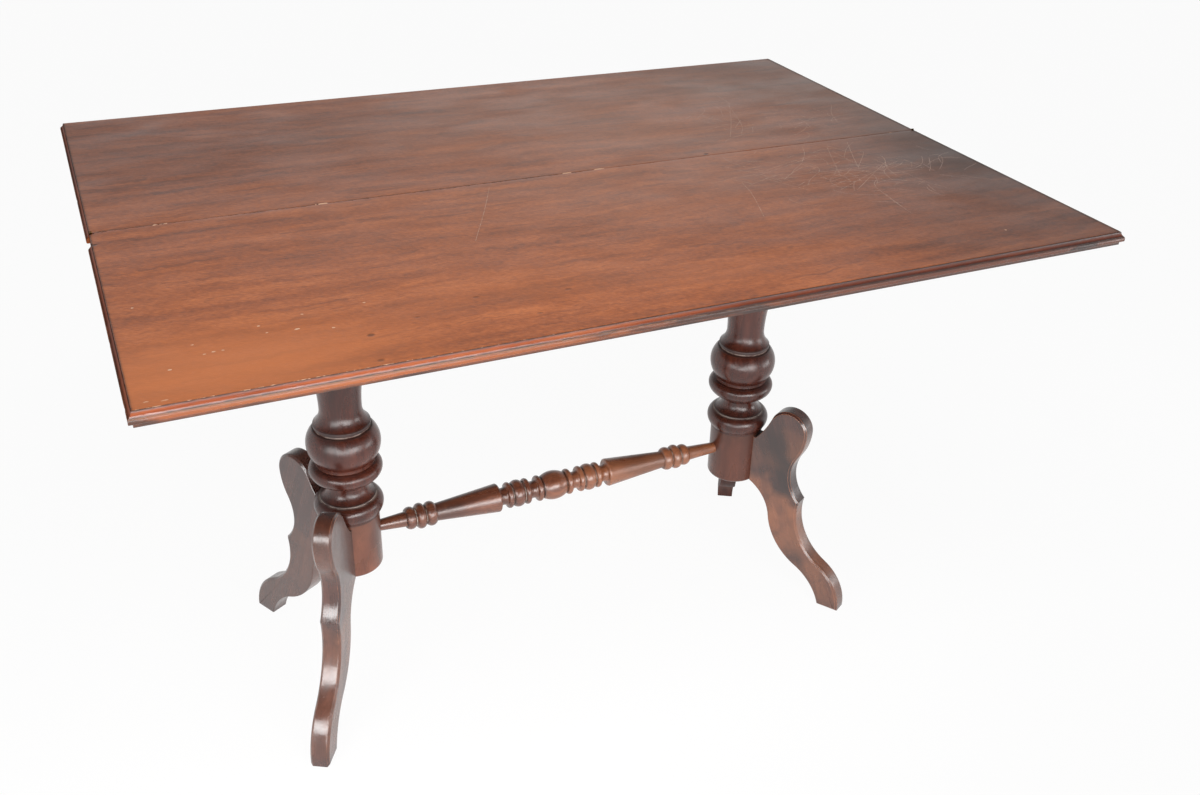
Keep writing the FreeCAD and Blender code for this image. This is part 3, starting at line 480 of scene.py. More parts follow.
@dataclass(frozen=True)
class WoodFinish:
    """Stained and polished wood, worn on its arrises, dark in its corners with grime and painted shade, and pale in
    its quirks with dust and painted highlights.
    """

    name: str
    grain: Grain
    deep: Colour
    middle: Colour
    pale: Colour
    bare: Colour
    band: float = 14.0
    fleck: float = 0.5
    polish: tuple[float, float] = (0.25, 0.42)
    gloss: float = 0.5
    haze: float = 0.0
    worn: float = 0.8
    patch: float = 0.0
    dusty_and_highlit: float = 0.5
    place: str = ""

    def along(self, share: float) -> list[float]:
        """Gives a stretch of the pattern along the fibres only."""
        return [share if part < 1 else 1.0 for part in self.grain.value]

    def figure(self, paint: Paint) -> tuple[NodeSocket, NodeSocket, NodeSocket]:
        """Lays out the wood's own pattern.

        Args:
            paint: The material under construction.

        Returns:
            The bands, the fibres and the pores, each a number about one half or from 0 to 1.
        """
        bands = paint.noise(paint.stretch(self.grain.value), 1000 / self.band, 3.0, 0.4)
        fibres = paint.noise(paint.stretch(self.along(0.06)), 620.0, 4.0, 0.2)
        pores = paint.span(paint.noise(paint.stretch(self.along(0.12)), 1150.0, 2.0), 0.6, 0.72)
        return bands, fibres, pores

    def arrises(self, paint: Paint) -> NodeSocket:
        """Gives where the arrises are worn."""
        return paint.attribute("wear")

    def rubs(self, paint: Paint) -> NodeSocket:
        """Gives where the polish is rubbed away between the arrises."""
        cloud = paint.span(paint.noise(paint.place, 7.0, 3.0, 0.5, 3.0), 0.55, 0.72)
        return paint.times(cloud, self.patch)

    def tint(self, paint: Paint, colour: NodeSocket) -> NodeSocket:
        """Changes the wood's colour by place; plain wood stays as it is."""
        return colour

    def make(self) -> Material:
        """Builds the material.

        Returns:
            The finished material.
        """
        paint = Paint(self.name, self.place)
        bands, fibres, pores = self.figure(paint)
        cloud = paint.noise(paint.place, 9.0, 3.0)
        tone = paint.total(
            paint.times(bands, 0.5), paint.times(fibres, 0.25), paint.times(cloud, 0.45), -0.1)
        colour = paint.ramp(tone, ((0.32, self.deep), (0.5, self.middle), (0.7, self.pale)))
        colour = self.tint(paint, colour)
        colour = paint.mix(paint.times(pores, self.fleck), colour, self.deep)
        rub = paint.noise(paint.place, 75.0, 4.0, 0.6)
        edge = paint.span(paint.total(self.arrises(paint), paint.times(rub, 1.3)), 1.35, 1.95)
        bared_and_highlit = paint.larger(paint.times(edge, self.worn), self.rubs(paint))
        colour = paint.mix(bared_and_highlit, colour, self.bare)
        # Dark grime in the inner corners, partly painted shade.
        dirt_and_shade = paint.times(paint.attribute("grime"), paint.span(rub, 0.25, 0.6, 0.5, 0.9))
        colour = paint.mix(dirt_and_shade, colour, SOOT_AND_SHADE)
        # Pale lines in the quirks: partly dust, partly painted highlight.
        dust = paint.times(paint.attribute("dust"), paint.span(rub, 0.35, 0.6, 0.15 * self.dusty_and_highlit, self.dusty_and_highlit))
        colour = paint.mix(dust, colour, DUST_AND_HIGHLIGHT)
        smear = paint.noise(paint.stretch(self.along(0.3)), 40.0, 4.0)
        roughness = paint.total(
            paint.span(smear, 0.3, 0.7, self.polish[0], self.polish[1]), paint.times(bared_and_highlit, 0.12),
            paint.times(paint.larger(dirt_and_shade, dust), 0.3))
        normal = paint.bumps((fibres, 0.0001), (pores, -0.00006), (paint.noise(paint.place, 70.0, 2.0), 0.0003))
        return paint.shade(colour, roughness, normal, specular=self.gloss, haze=self.haze)


@dataclass(frozen=True)
class LegFinish(WoodFinish):
    """The legs' dark polish, rubbed through and stained at places of a leg's side view."""

    rubbed: tuple[Mark, ...] = ()
    stains: tuple[Mark, ...] = ()

    def side(self, paint: Paint) -> NodeSocket:
        """Gives the leg's own side view, with frayed edges for what is drawn on it."""
        still = paint.node("ShaderNodeAttribute", attribute_name="side_view").outputs["Vector"]
        return paint.shaken(still, 20.0, 0.085)

    def arrises(self, paint: Paint) -> NodeSocket:
        """Gives where the arrises are worn, more so on a worn leg."""
        return paint.times(super().arrises(paint), paint.span(paint.attribute("rubbed"), 0.0, 1.0, 0.72, 1.3))

    def rubs(self, paint: Paint) -> NodeSocket:
        """Gives where the polish is rubbed away: clouds, and the places of use on a worn leg.

        Args:
            paint: The material under construction.

        Returns:
            How bare the wood is, 0 to 1.
        """
        worn = paint.times(paint.marks(self.side(paint), self.rubbed, 1.3), paint.attribute("rubbed"))
        thin = paint.span(paint.noise(paint.stretch(self.along(0.4)), 34.0, 4.0, 0.4, 5.0), 0.3, 0.6, 0.35, 1.0)
        return paint.larger(super().rubs(paint), paint.times(worn, thin))

    def tint(self, paint: Paint, colour: NodeSocket) -> NodeSocket:
        """Darkens the stained places of a worn leg."""
        dark = paint.times(paint.marks(self.side(paint), self.stains, 1.4), paint.attribute("rubbed"))
        return paint.mix(dark, colour, SOOT_AND_SHADE)


@dataclass(frozen=True)
class EdgeFinish(WoodFinish):
    """The moulded edge: polish in the cove, a fascia with dark knocks, and painted shade that darkens it towards the
    right.
    """

    fascia: Colour = (0.3, 0.1, 0.05, 1.0)
    painted_right_shade: Colour = srgb(150, 135, 125)
    fascia_top: float = 753.4
    fascia_bottom: float = 741.5

    def arrises(self, paint: Paint) -> NodeSocket:
        """Gives where the arrises are worn, less towards the right."""
        return paint.times(super().arrises(paint), paint.span(paint.axis("X"), -0.3, 0.3, 1.0, 0.6))

    def tint(self, paint: Paint, colour: NodeSocket) -> NodeSocket:
        """Warms the fascia, stains it in patches and darkens the edge towards the right with painted shade.

        Args:
            paint: The material under construction.
            colour: The wood's colour so far.

        Returns:
            The changed colour.
        """
        height = paint.axis("Z")
        face = paint.times(paint.span(height, (self.fascia_top + 0.3) * MM, (self.fascia_top - 0.3) * MM),
                          paint.span(height, (self.fascia_bottom - 0.3) * MM, (self.fascia_bottom + 0.3) * MM))
        ragged = paint.noise(paint.stretch(self.along(0.3)), 60.0, 4.0, 0.4, 2.0)
        colour = paint.mix(paint.times(face, paint.span(ragged, 0.25, 0.6, 0.55, 1.0)), colour, self.fascia)
        # Painted shade: the cove and the quirks darken towards the right, where less light falls; the fascia is tinted
        # after it.
        colour = paint.mix(paint.span(paint.axis("X"), -0.45, 0.3), colour, self.painted_right_shade, "MULTIPLY")
        stain = paint.span(paint.noise(paint.stretch(self.along(0.22)), 34.0, 4.0, 0.5, 7.0), 0.54, 0.63)
        return paint.mix(paint.times(paint.times(stain, face), 0.8), colour, SOOT_AND_SHADE)


@dataclass(frozen=True)
class ColumnFinish(WoodFinish):
    """The columns' polish, thinner on their drums and thinnest on the left one, whose paler drum is partly painted
    light.
    """

    drum_top: float = 283.5

    def tint(self, paint: Paint, colour: NodeSocket) -> NodeSocket:
        """Lightens the drums, the left one most: partly thinner polish, partly painted light.

        Args:
            paint: The material under construction.
            colour: The wood's colour so far.

        Returns:
            The changed colour.
        """
        # Paler drums, the left one most: partly worn polish, partly painted light.
        drum = paint.times(paint.span(paint.axis("Z"), (self.drum_top + 0.5) * MM, (self.drum_top - 0.5) * MM),
                          paint.span(paint.axis("X"), -0.1, 0.1, 1.0, 0.3))
        cloud = paint.span(paint.noise(paint.stretch(self.along(0.4)), 24.0, 3.0, 0.4, 6.0), 0.3, 0.65, 0.25, 0.75)
        return paint.mix(paint.times(drum, cloud), colour, self.bare)


@dataclass(frozen=True)
class BarFinish(WoodFinish):
    """The stretcher's polish, rubbed to a paler wood on its ball and right half."""

    def rubs(self, paint: Paint) -> NodeSocket:
        """Gives where the polish is rubbed away between the arrises.

        Args:
            paint: The material under construction.

        Returns:
            How bare the wood is, 0 to 1.
        """
        cloud = paint.span(paint.noise(paint.stretch(self.along(0.35)), 30.0, 4.0, 0.5, 3.0), 0.3, 0.62, 0.2, 1.0)
        share = paint.span(paint.axis("X"), -0.07, 0.03, 0.12, 1.0)
        return paint.times(paint.times(cloud, share), self.patch)


@dataclass(frozen=True)
class TopFinish(WoodFinish):
    """The leaves' ribbon-striped wood, with the knocks and wear of a used top, and painted light, shade and sheen
    across it.
    """

    nicks: tuple[Mark, ...] = ()
    spots: tuple[Mark, ...] = ()
    painted_glows: tuple[Mark, ...] = ()
    painted_shades: tuple[Mark, ...] = ()
    painted_sheens: tuple[Mark, ...] = ()

    # Each kind of streak: stretch, layer, scale, detail, bend, limits, strength and the colour that it takes.
    STREAKS = (
        (0.08, 4.0, 84.0, 5.0, 0.5, (0.57, 0.69), 0.55, "deep"),
        (0.06, 14.0, 150.0, 4.0, 0.4, (0.58, 0.72), 0.3, "pale"),
        (0.05, 9.0, 260.0, 4.0, 0.3, (0.56, 0.68), 0.4, "deep"))

    def make(self) -> Material:
        """Builds the material.

        Returns:
            The finished material.
        """
        paint = Paint(self.name, self.place)
        swayed = paint.shaken(paint.place, 3.2, 0.05)
        torn = paint.shaken(swayed, 42.0, 0.014)
        ribbons = paint.noise(paint.stretch((0.045, 1.0, 1.0), where=torn), 1000 / self.band, 3.0, 0.35)
        broken = paint.noise(paint.stretch((0.24, 1.0, 1.0), turn=0.06, where=torn), 66.0, 3.0, 0.5)
        flecks = paint.noise(paint.stretch((0.4, 1.0, 1.0), turn=0.55), 330.0, 3.0, 0.3)
        fine = paint.noise(paint.stretch((0.2, 1.0, 1.0), turn=0.1), 820.0, 3.0, 0.2)
        pores = paint.span(paint.noise(paint.stretch((0.16, 1.0, 1.0), turn=0.2), 1000.0, 2.0), 0.56, 0.7)
        tone = paint.total(
            paint.times(ribbons, 0.48), paint.times(broken, 0.3), paint.times(flecks, 0.3),
            paint.times(fine, 0.36), -0.22)
        colour = paint.ramp(tone, ((0.3, self.deep), (0.5, self.middle), (0.7, self.pale)))
        for squeeze, layer, scale, detail, bend, limits, strength, taken in self.STREAKS:
            where = paint.stretch((squeeze, 1.0, 1.0), (0, 0, layer), where=torn)
            streak = paint.span(paint.noise(where, scale, detail, bend), *limits)
            colour = paint.mix(paint.times(streak, strength), colour, getattr(self, taken))
        colour = paint.mix(paint.times(pores, self.fleck), colour, self.deep)
        cloud = paint.noise(paint.place, 3.0, 3.0)
        # Painted light: pale pools where the top is lit most, the near-left corner above all.
        painted_glow = paint.times(paint.marks(swayed, self.painted_glows, 1.6), paint.span(cloud, 0.3, 0.6, 0.4, 1.0))
        colour = paint.mix(painted_glow, colour, self.pale)
        # Darker and greyer towards the right: partly faded wood, partly painted shade where less light falls.
        faded_and_shaded = paint.span(paint.total(paint.axis("X"), paint.times(cloud, 0.4)), 0.35, 0.85)
        colour = paint.mix(faded_and_shaded, colour, FADED_AND_SHADE, "MULTIPLY")
        # Painted shade: darker patches on the far left and at the right end of the top.
        shade = paint.times(paint.marks(swayed, self.painted_shades, 1.8), paint.span(cloud, 0.3, 0.6, 0.6, 1.0))
        colour = paint.mix(shade, colour, PAINTED_SHADE, "MULTIPLY")
        # Painted sheen: a pale grey haze on the far right and the middle of the top.
        painted_sheen = paint.times(paint.marks(swayed, self.painted_sheens, 1.8), paint.span(cloud, 0.3, 0.6, 0.6, 1.0))
        colour = paint.mix(painted_sheen, colour, PAINTED_SHEEN)
        rub = paint.noise(paint.place, 120.0, 4.0, 0.6)
        seam = paint.times(paint.attribute("grime"), paint.span(rub, 0.25, 0.6, 0.6, 1.0))
        colour = paint.mix(seam, colour, SOOT_AND_SHADE)
        frayed = paint.shaken(paint.place, 900.0, 0.0016)
        nicks = paint.marks(frayed, self.nicks, 0.4)
        splinters = paint.noise(paint.stretch((0.45, 1.0, 1.0)), 420.0, 4.0, 0.4)
        chips = paint.larger(nicks, paint.span(
            paint.total(paint.attribute("chip"), paint.times(splinters, 1.3)), 1.1, 1.3))
        colour = paint.mix(chips, colour, self.bare)
        spots = paint.marks(frayed, self.spots, 0.9)
        colour = paint.mix(spots, colour, SOOT_AND_SHADE)
        grit = paint.cells(paint.place, 95.0)
        speck = paint.times(paint.span(grit.outputs["Distance"], 0.055, 0.03), 0.45)
        chosen = paint.span(paint.node("ShaderNodeSeparateXYZ", {0: grit.outputs["Color"]}).outputs["X"], 0.95, 0.97)
        colour = paint.mix(paint.times(speck, chosen), colour, self.bare)
        smear = paint.noise(paint.stretch((0.45, 1.0, 1.0)), 16.0, 5.0, 0.6)
        roughness = paint.total(
            paint.span(smear, 0.3, 0.72, self.polish[0], self.polish[1]), paint.times(chips, 0.3),
            paint.times(seam, 0.2))
        normal = paint.bumps(
            (fine, 0.00006), (pores, -0.00005), (paint.noise(paint.place, 24.0, 2.0), 0.0005),
            (paint.larger(nicks, spots), -0.0003))
        return paint.shade(colour, roughness, normal, specular=self.gloss)


@dataclass(frozen=True)
class MetalFinish:
    """Bare metal, tarnished where hands don't reach."""

    name: str
    bright: Colour
    dull: Colour
    polish: tuple[float, float] = (0.28, 0.55)

    def make(self) -> Material:
        """Builds the material.

        Returns:
            The finished material.
        """
        paint = Paint(self.name)
        cloud = paint.noise(paint.place, 160.0, 5.0, 0.5)
        brushed = paint.noise(paint.stretch((1.0, 0.05, 1.0)), 2600.0, 2.0)
        tarnish = paint.span(paint.total(cloud, paint.times(brushed, 0.25)), 0.48, 0.78)
        colour = paint.mix(tarnish, self.bright, self.dull)
        roughness = paint.span(tarnish, 0.0, 1.0, self.polish[0], self.polish[1])
        normal = paint.bumps((brushed, 0.00002), (cloud, 0.00008))
        return paint.shade(colour, roughness, normal, metallic=1.0)


@dataclass(frozen=True)
class ScratchFinish:
    """The dry, pale line that a hard edge leaves in polish."""

    name: str
    line: Colour
    faint: Colour

    def make(self) -> Material:
        """Builds the material.

        Returns:
            The finished material.
        """
        paint = Paint(self.name)
        broken = paint.noise(paint.place, 130.0, 3.0)
        colour = paint.mix(paint.span(broken, 0.35, 0.65), self.faint, self.line)
        normal = paint.bumps((paint.noise(paint.place, 2000.0, 2.0), 0.00004))
        return paint.shade(colour, paint.span(broken, 0.3, 0.7, 0.5, 0.7), normal)


class Finishes:
    """Every material of the table, made once."""

    def __init__(self) -> None:
        """Builds the materials."""
        self.top = TopFinish(
            "ribbon_top", Grain.LENGTH,
            srgb(104, 53, 29), srgb(158, 84, 41), srgb(194, 111, 58), srgb(214, 172, 142),
            band=24.0, fleck=0.3, polish=(0.32, 0.46), gloss=0.5, nicks=(
                Mark(-465, -312, 1.0), Mark(-460, -330, 0.9), Mark(-430, -333, 1.5, 2.0), Mark(-395, -343, 1.1),
                Mark(-418, -301, 0.9), Mark(-351, -297, 1.0), Mark(-560, -374, 1.2), Mark(-516, -352, 1.0, 2.0),
                Mark(-578, -224, 1.0), Mark(-533, -330, 0.9), Mark(-507, -352, 0.9), Mark(-525, -354, 0.9),
                Mark(-588, -428, 1.0, 2.4, 0.7), Mark(-572, -431, 1.1, 3.0, 0.6), Mark(461, -381, 1.3, 1.2)),
            spots=(
                Mark(-364, -373, 3.0, 1.3, 0.6), Mark(-369, -429, 2.6, 1.4, 0.5), Mark(-599, -39, 1.8),
                Mark(234, 6, 2.2, 1.8),
                Mark(-235, -327, 2.4, 1.5, 0.45), Mark(-133, -344, 2.2, 1.8, 0.45), Mark(-308, -351, 1.8, 1.6, 0.4),
                Mark(-184, -388, 2.0, 1.6, 0.4)),
            painted_glows=(
                Mark(-510, -385, 75, 2.2, 0.75), Mark(-200, -330, 50, 3.0, 0.25), Mark(60, -360, 40, 3.0, 0.3),
                Mark(-94, 153, 22, 2.2, 0.5)),
            painted_shades=(Mark(-470, 300, 230, 1.7, 0.6), Mark(610, -110, 150, 0.9, 1.0), Mark(430, -300, 130, 1.8, 0.5)),
            painted_sheens=(Mark(300, 230, 240, 1.9, 0.45), Mark(120, -60, 200, 2.0, 0.25))).make()
        self.moulding = EdgeFinish(
            "moulded_edge", Grain.LENGTH,
            srgb(120, 52, 26), srgb(176, 86, 46), srgb(206, 118, 72), srgb(228, 168, 130),
            band=22.0, fleck=0.35, polish=(0.14, 0.24), gloss=0.9, worn=0.85, fascia=srgb(176, 94, 40)).make()
        self.moulding_ends = EdgeFinish(
            "moulded_edge_ends", Grain.DEPTH,
            srgb(82, 34, 20), srgb(122, 58, 34), srgb(152, 82, 52), srgb(184, 120, 88),
            band=22.0, fleck=0.4, polish=(0.5, 0.65), gloss=0.1, worn=0.5, fascia=srgb(150, 82, 44)).make()
        self.column = ColumnFinish(
            "turned_column", Grain.HEIGHT,
            srgb(38, 16, 12), srgb(64, 29, 21), srgb(92, 47, 34), srgb(142, 87, 64),
            band=11.0, fleck=0.6, polish=(0.21, 0.33), gloss=0.6, worn=0.45).make()
        polished = LegFinish(
            "scrolled_leg", Grain.HEIGHT,
            srgb(36, 19, 16), srgb(64, 36, 30), srgb(94, 56, 45), srgb(166, 104, 70),
            band=13.0, fleck=0.5, polish=(0.16, 0.28), gloss=1.0, haze=0.12, worn=0.6, patch=0.12, place="plank",
            rubbed=(
                Mark(122, 290, 28, 1.0, 0.25), Mark(60, 186, 26, 1.2, 0.65), Mark(96, 150, 36, 1.0, 0.6),
                Mark(132, 108, 36, 1.2, 0.5), Mark(176, 56, 30, 1.3, 0.42), Mark(205, 25, 26, 1.3, 0.42)),
            stains=(Mark(98, 262, 38, 1.0, 0.6), Mark(74, 236, 24, 1.2, 0.35), Mark(116, 204, 26, 1.0, 0.3)))
        self.leg = polished.make()
        # A duller, dry copy for the rear right leg, with less sheen: partly dust, partly painted shade, as that leg
        # stands in shade.
        self.leg_dull_for_shade = replace(polished, name="scrolled_leg_dull", polish=(0.5, 0.65), gloss=0.2, haze=0.0).make()
        self.stretcher = BarFinish(
            "turned_stretcher", Grain.LENGTH,
            srgb(52, 26, 19), srgb(90, 50, 36), srgb(138, 84, 58), srgb(166, 106, 70),
            band=9.0, fleck=0.6, polish=(0.18, 0.3), gloss=0.9, worn=0.5, patch=0.5, dusty_and_highlit=1.0).make()
        plain_wood = WoodFinish(
            "frame_wood_long", Grain.LENGTH,
            srgb(96, 60, 42), srgb(132, 88, 62), srgb(164, 116, 84), srgb(176, 128, 94),
            fleck=0.4, polish=(0.5, 0.7), gloss=0.3, worn=0.4)
        self.frame_long = plain_wood.make()
        self.frame_deep = replace(plain_wood, name="frame_wood_deep", grain=Grain.DEPTH).make()
        self.wedge = WoodFinish(
            "wedge_wood", Grain.HEIGHT,
            srgb(120, 82, 54), srgb(160, 116, 80), srgb(190, 148, 106), srgb(200, 160, 120),
            fleck=0.4, polish=(0.55, 0.75), gloss=0.3).make()
        self.brass = MetalFinish("aged_brass", srgb(104, 78, 46), srgb(44, 32, 24)).make()
        self.steel = MetalFinish("dull_steel", srgb(150, 146, 140), srgb(78, 70, 64), (0.32, 0.6)).make()
        self.scratch = ScratchFinish("polish_scratch", srgb(204, 180, 166), srgb(172, 134, 112)).make()


class Workshop:
    """Turns meshes into pieces that ride on the frame."""

    CREASE = math.radians(32)
    FLAT = math.radians(0.5)
    SHARP = math.radians(40)

    def __init__(self) -> None:
        """Starts with no pieces."""
        self.made: list[Object] = []

    def tidy(self, mesh: Mesh, close: bool = False) -> Mesh:
        """Merges doubles, turns faces outwards and sets the shading.

        Args:
            mesh: The mesh to tidy.
            close: Whether open ends are filled.

        Returns:
            The same mesh.
        """
        work = bmesh.new()
        work.from_mesh(mesh)
        bmesh.ops.remove_doubles(work, verts=work.verts, dist=MERGE)
        bmesh.ops.dissolve_degenerate(work, edges=work.edges, dist=MERGE / 2)
        if close:
            bmesh.ops.holes_fill(work, edges=[edge for edge in work.edges if edge.is_boundary], sides=0)
        bmesh.ops.recalc_face_normals(work, faces=work.faces)
        work.to_mesh(mesh)
        work.free()
        mesh.polygons.foreach_set("use_smooth", [True] * len(mesh.polygons))
        mesh.set_sharp_from_angle(angle=self.CREASE)
        mesh.update()
        return mesh

    def place(self, name: str, mesh: Mesh, material: Material, body: Body, slot: Slot,
              *nodes: str) -> Object:
        """Makes a mesh a piece of the table.

        Args:
            name: The piece's name.
            mesh: Its mesh, already in its place.
            material: Its finish.
            body: The body that it rides on.
            slot: The record's finish that it takes; not used.
            nodes: The CAD nodes that it stands for.

        Returns:
            The piece.
        """
        mesh.name = name
        mesh.materials.clear()
        mesh.materials.append(material)
        piece = linked(name, mesh)
        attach(piece, body.value)
        if nodes:
            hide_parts(*nodes)
        self.made.append(piece)
        LOG.info("%s: %d faces on %s", name, len(mesh.polygons), body.value)
        return piece

    def dress_node(self, node: str, material: Material) -> None:
        """Gives a kept CAD node its finish.

        Args:
            node: The node's name.
            material: Its finish.
        """
        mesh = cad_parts[node].data
        mesh.materials.clear()
        mesh.materials.append(material)
        LOG.info("%s: kept, new finish", node)

    def softened(self, node: str, arris: float) -> Mesh:
        """Copies a CAD node's mesh and eases its arrises.

        Args:
            node: The node to copy.
            arris: The width of the eased edge in millimetres.

        Returns:
            The new mesh.
        """
        work = bmesh.new()
        work.from_mesh(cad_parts[node].data)
        bmesh.ops.remove_doubles(work, verts=work.verts, dist=MERGE)
        bmesh.ops.dissolve_limit(work, angle_limit=self.FLAT, verts=work.verts, edges=work.edges)
        sharp = [edge for edge in work.edges if len(edge.link_faces) == 2 and edge.calc_face_angle(0.0) > self.SHARP]
        bmesh.ops.bevel(
            work, geom=sharp, offset=arris * MM, offset_type="OFFSET", segments=2, profile=0.5, affect="EDGES",
            clamp_overlap=True)
        mesh = bpy.data.meshes.new(node + "_soft")
        work.to_mesh(mesh)
        work.free()
        return self.tidy(mesh)


class ShapeTree(Graph):
    """A Geometry Nodes tree with named sizes that grows a mesh from a start."""

    def __init__(self, name: str) -> None:
        """Starts the tree with its geometry and material.

        Args:
            name: The tree's name.
        """
        super().__init__(bpy.data.node_groups.new(name, "GeometryNodeTree"))
        self.keys: dict[str, str] = {}
        self.tree.interface.new_socket("Geometry", in_out="INPUT", socket_type="NodeSocketGeometry")
        self.tree.interface.new_socket("Geometry", in_out="OUTPUT", socket_type="NodeSocketGeometry")
        self.entry = self.node("NodeGroupInput")
        self.start = self.entry.outputs["Geometry"]
        self.finish = self.size("Finish", "NodeSocketMaterial")

    def size(self, name: str, kind: str = "NodeSocketFloat") -> NodeSocket:
        """Adds a named input.

        Args:
            name: The input's name.
            kind: Blender's name of its type.

        Returns:
            The socket that gives it inside the tree.
        """
        self.keys[name] = self.tree.interface.new_socket(name, in_out="INPUT", socket_type=kind).identifier
        return self.entry.outputs[name]

    def close(self, geometry: NodeSocket) -> None:
        """Ends the tree in real geometry that carries the finish.

        Args:
            geometry: What the tree has made.
        """
        real = self.node("GeometryNodeRealizeInstances", {"Geometry": geometry}).outputs[0]
        dressed = self.node("GeometryNodeSetMaterial", {"Geometry": real, "Material": self.finish}).outputs[0]
        self.node("NodeGroupOutput", {"Geometry": dressed})

    def grow(self, start: Mesh, **sizes: object) -> Mesh:
        """Runs the tree.

        Args:
            start: The mesh that it grows from.
            sizes: Its named inputs, with _ for a space.

        Returns:
            The plain mesh that it makes.
        """
        seed = linked(start.name, start)
        modifier = seed.modifiers.new("shape", "NODES")
        modifier.node_group = self.tree
        for name, value in sizes.items():
            modifier[self.keys[name.replace("_", " ")]] = value
        mesh = plain(seed)
        seed.modifiers.remove(modifier)
        bpy.data.objects.remove(seed)
        return mesh


class ProfileTree(ShapeTree):
    """A tree that spreads a profile's points over a grid."""

    def __init__(self, name: str, across: str) -> None:
        """Starts the grid and reads the profile at each of its rows.

        Args:
            name: The tree's name.
            across: The name of the input that counts the steps across the profile.
        """
        super().__init__(name)
        steps = self.size(across, "NodeSocketInt")
        count = self.size("Profile Points", "NodeSocketInt")
        feeds = {"Size X": 1.0, "Size Y": 1.0, "Vertices X": self.total(steps, 1.0), "Vertices Y": count}
        sheet = self.node("GeometryNodeMeshGrid", feeds).outputs["Mesh"]
        place = self.node("ShaderNodeSeparateXYZ", {0: self.node("GeometryNodeInputPosition").outputs[0]})
        self.share = self.total(place.outputs["X"], 0.5)
        row = self.times(self.total(place.outputs["Y"], 0.5), self.math("SUBTRACT", count, 1.0))
        self.row = self.math("ROUND", row)
        for mark in Section.MARKS:
            value = self.sample(self.node("GeometryNodeInputNamedAttribute", {"Name": mark}).outputs[0], "FLOAT")
            sheet = self.store(sheet, mark, value)
        self.sheet = sheet
        where = self.sample(self.node("GeometryNodeInputPosition").outputs[0], "FLOAT_VECTOR")
        parts = self.node("ShaderNodeSeparateXYZ", {0: where})
        self.out, self.rise = parts.outputs["X"], parts.outputs["Z"]

    def sample(self, value: NodeSocket, kind: str) -> NodeSocket:
        """Reads a value of the profile at a grid point's row."""
        feeds = {"Geometry": self.start, "Value": value, "Index": self.row}
        return self.node("GeometryNodeSampleIndex", feeds, data_type=kind, domain="POINT").outputs[0]

    def store(self, geometry: NodeSocket, name: str, value: Feed) -> NodeSocket:
        """Keeps a number on each point under a name."""
        feeds = {"Geometry": geometry, "Name": name, "Value": value}
        return self.node("GeometryNodeStoreNamedAttribute", feeds, data_type="FLOAT", domain="POINT").outputs[0]

    def settle(self, x: Feed, y: Feed, z: Feed) -> None:
        """Moves the grid's points to their places, joins the seam and ends the tree.

        Args:
            x: Each point's place along X.
            y: Its place along Y.
            z: Its place along Z.
        """
        there = self.node("ShaderNodeCombineXYZ", {0: x, 1: y, 2: z}).outputs[0]
        moved = self.node("GeometryNodeSetPosition", {"Geometry": self.sheet, "Position": there}).outputs[0]
        self.close(self.node("GeometryNodeMergeByDistance", {"Geometry": moved, "Distance": MERGE}).outputs[0])


class LatheTree(ProfileTree):
    """Turns a profile about the Z axis."""

    def __init__(self) -> None:
        """Builds the tree."""
        super().__init__("turned_on_a_lathe", "Steps Round")
        turn = self.times(self.share, math.tau)
        across = self.times(self.out, self.math("COSINE", turn))
        deep = self.times(self.out, self.math("SINE", turn))
        self.settle(across, deep, self.rise)


class MouldingTree(ProfileTree):
    """Runs a moulding's section along a straight edge, with cut ends, knocks and a broken start."""

    def __init__(self) -> None:
        """Builds the tree."""
        super().__init__("run_moulding", "Steps Along")
        length = self.size("Length")
        start_cut = self.size("Start Cut")
        end_cut = self.size("End Cut")
        ragged = self.size("Broken")
        knock = self.size("Knocks")
        seed = self.size("Seed")
        edge = self.node("ShaderNodeCombineXYZ", {0: 0.0, 1: self.out, 2: self.rise}).outputs[0]
        torn = self.times(self.noise(edge, 420.0, 3.0, 0.0, seed), ragged)
        first = self.math("SUBTRACT", torn, self.times(self.out, start_cut))
        last = self.total(length, self.times(self.out, end_cut))
        along = self.total(first, self.times(self.share, self.math("SUBTRACT", last, first)))
        where = self.node("ShaderNodeCombineXYZ", {0: along, 1: self.out, 2: self.rise}).outputs[0]
        dents = self.span(self.noise(where, 26.0, 4.0, 0.5, seed), 0.6, 0.74)
        waves = self.times(self.noise(where, 7.0, 2.0, 0.0, seed), 0.35)
        loss = self.times(self.total(dents, waves), self.times(knock, self.span(self.out, 0.0026, 0.0046)))
        self.settle(along, self.math("SUBTRACT", self.out, loss), self.rise)


class ScrewTree(ShapeTree):
    """Sets a screw at each point, along the point's axis."""

    def __init__(self) -> None:
        """Builds the tree."""
        super().__init__("set_screws")
        screw = self.size("Screw", "NodeSocketObject")
        axis = self.node("GeometryNodeInputNamedAttribute", {"Name": "axis"}, data_type="FLOAT_VECTOR").outputs[0]
        turn = self.node("GeometryNodeInputNamedAttribute", {"Name": "turn"}, data_type="FLOAT").outputs[0]
        aligned = self.node("FunctionNodeAlignRotationToVector", {"Vector": axis}, axis="Z").outputs[0]
        spin = self.node("FunctionNodeAxisAngleToRotation", {"Axis": (0.0, 0.0, 1.0), "Angle": turn}).outputs[0]
        turned = self.node("FunctionNodeRotateRotation", {0: aligned, 1: spin}, rotation_space="LOCAL").outputs[0]
        shape = self.node("GeometryNodeObjectInfo", {"Object": screw}).outputs["Geometry"]
        feeds = {"Points": self.start, "Instance": shape, "Rotation": turned}
        self.close(self.node("GeometryNodeInstanceOnPoints", feeds).outputs[0])


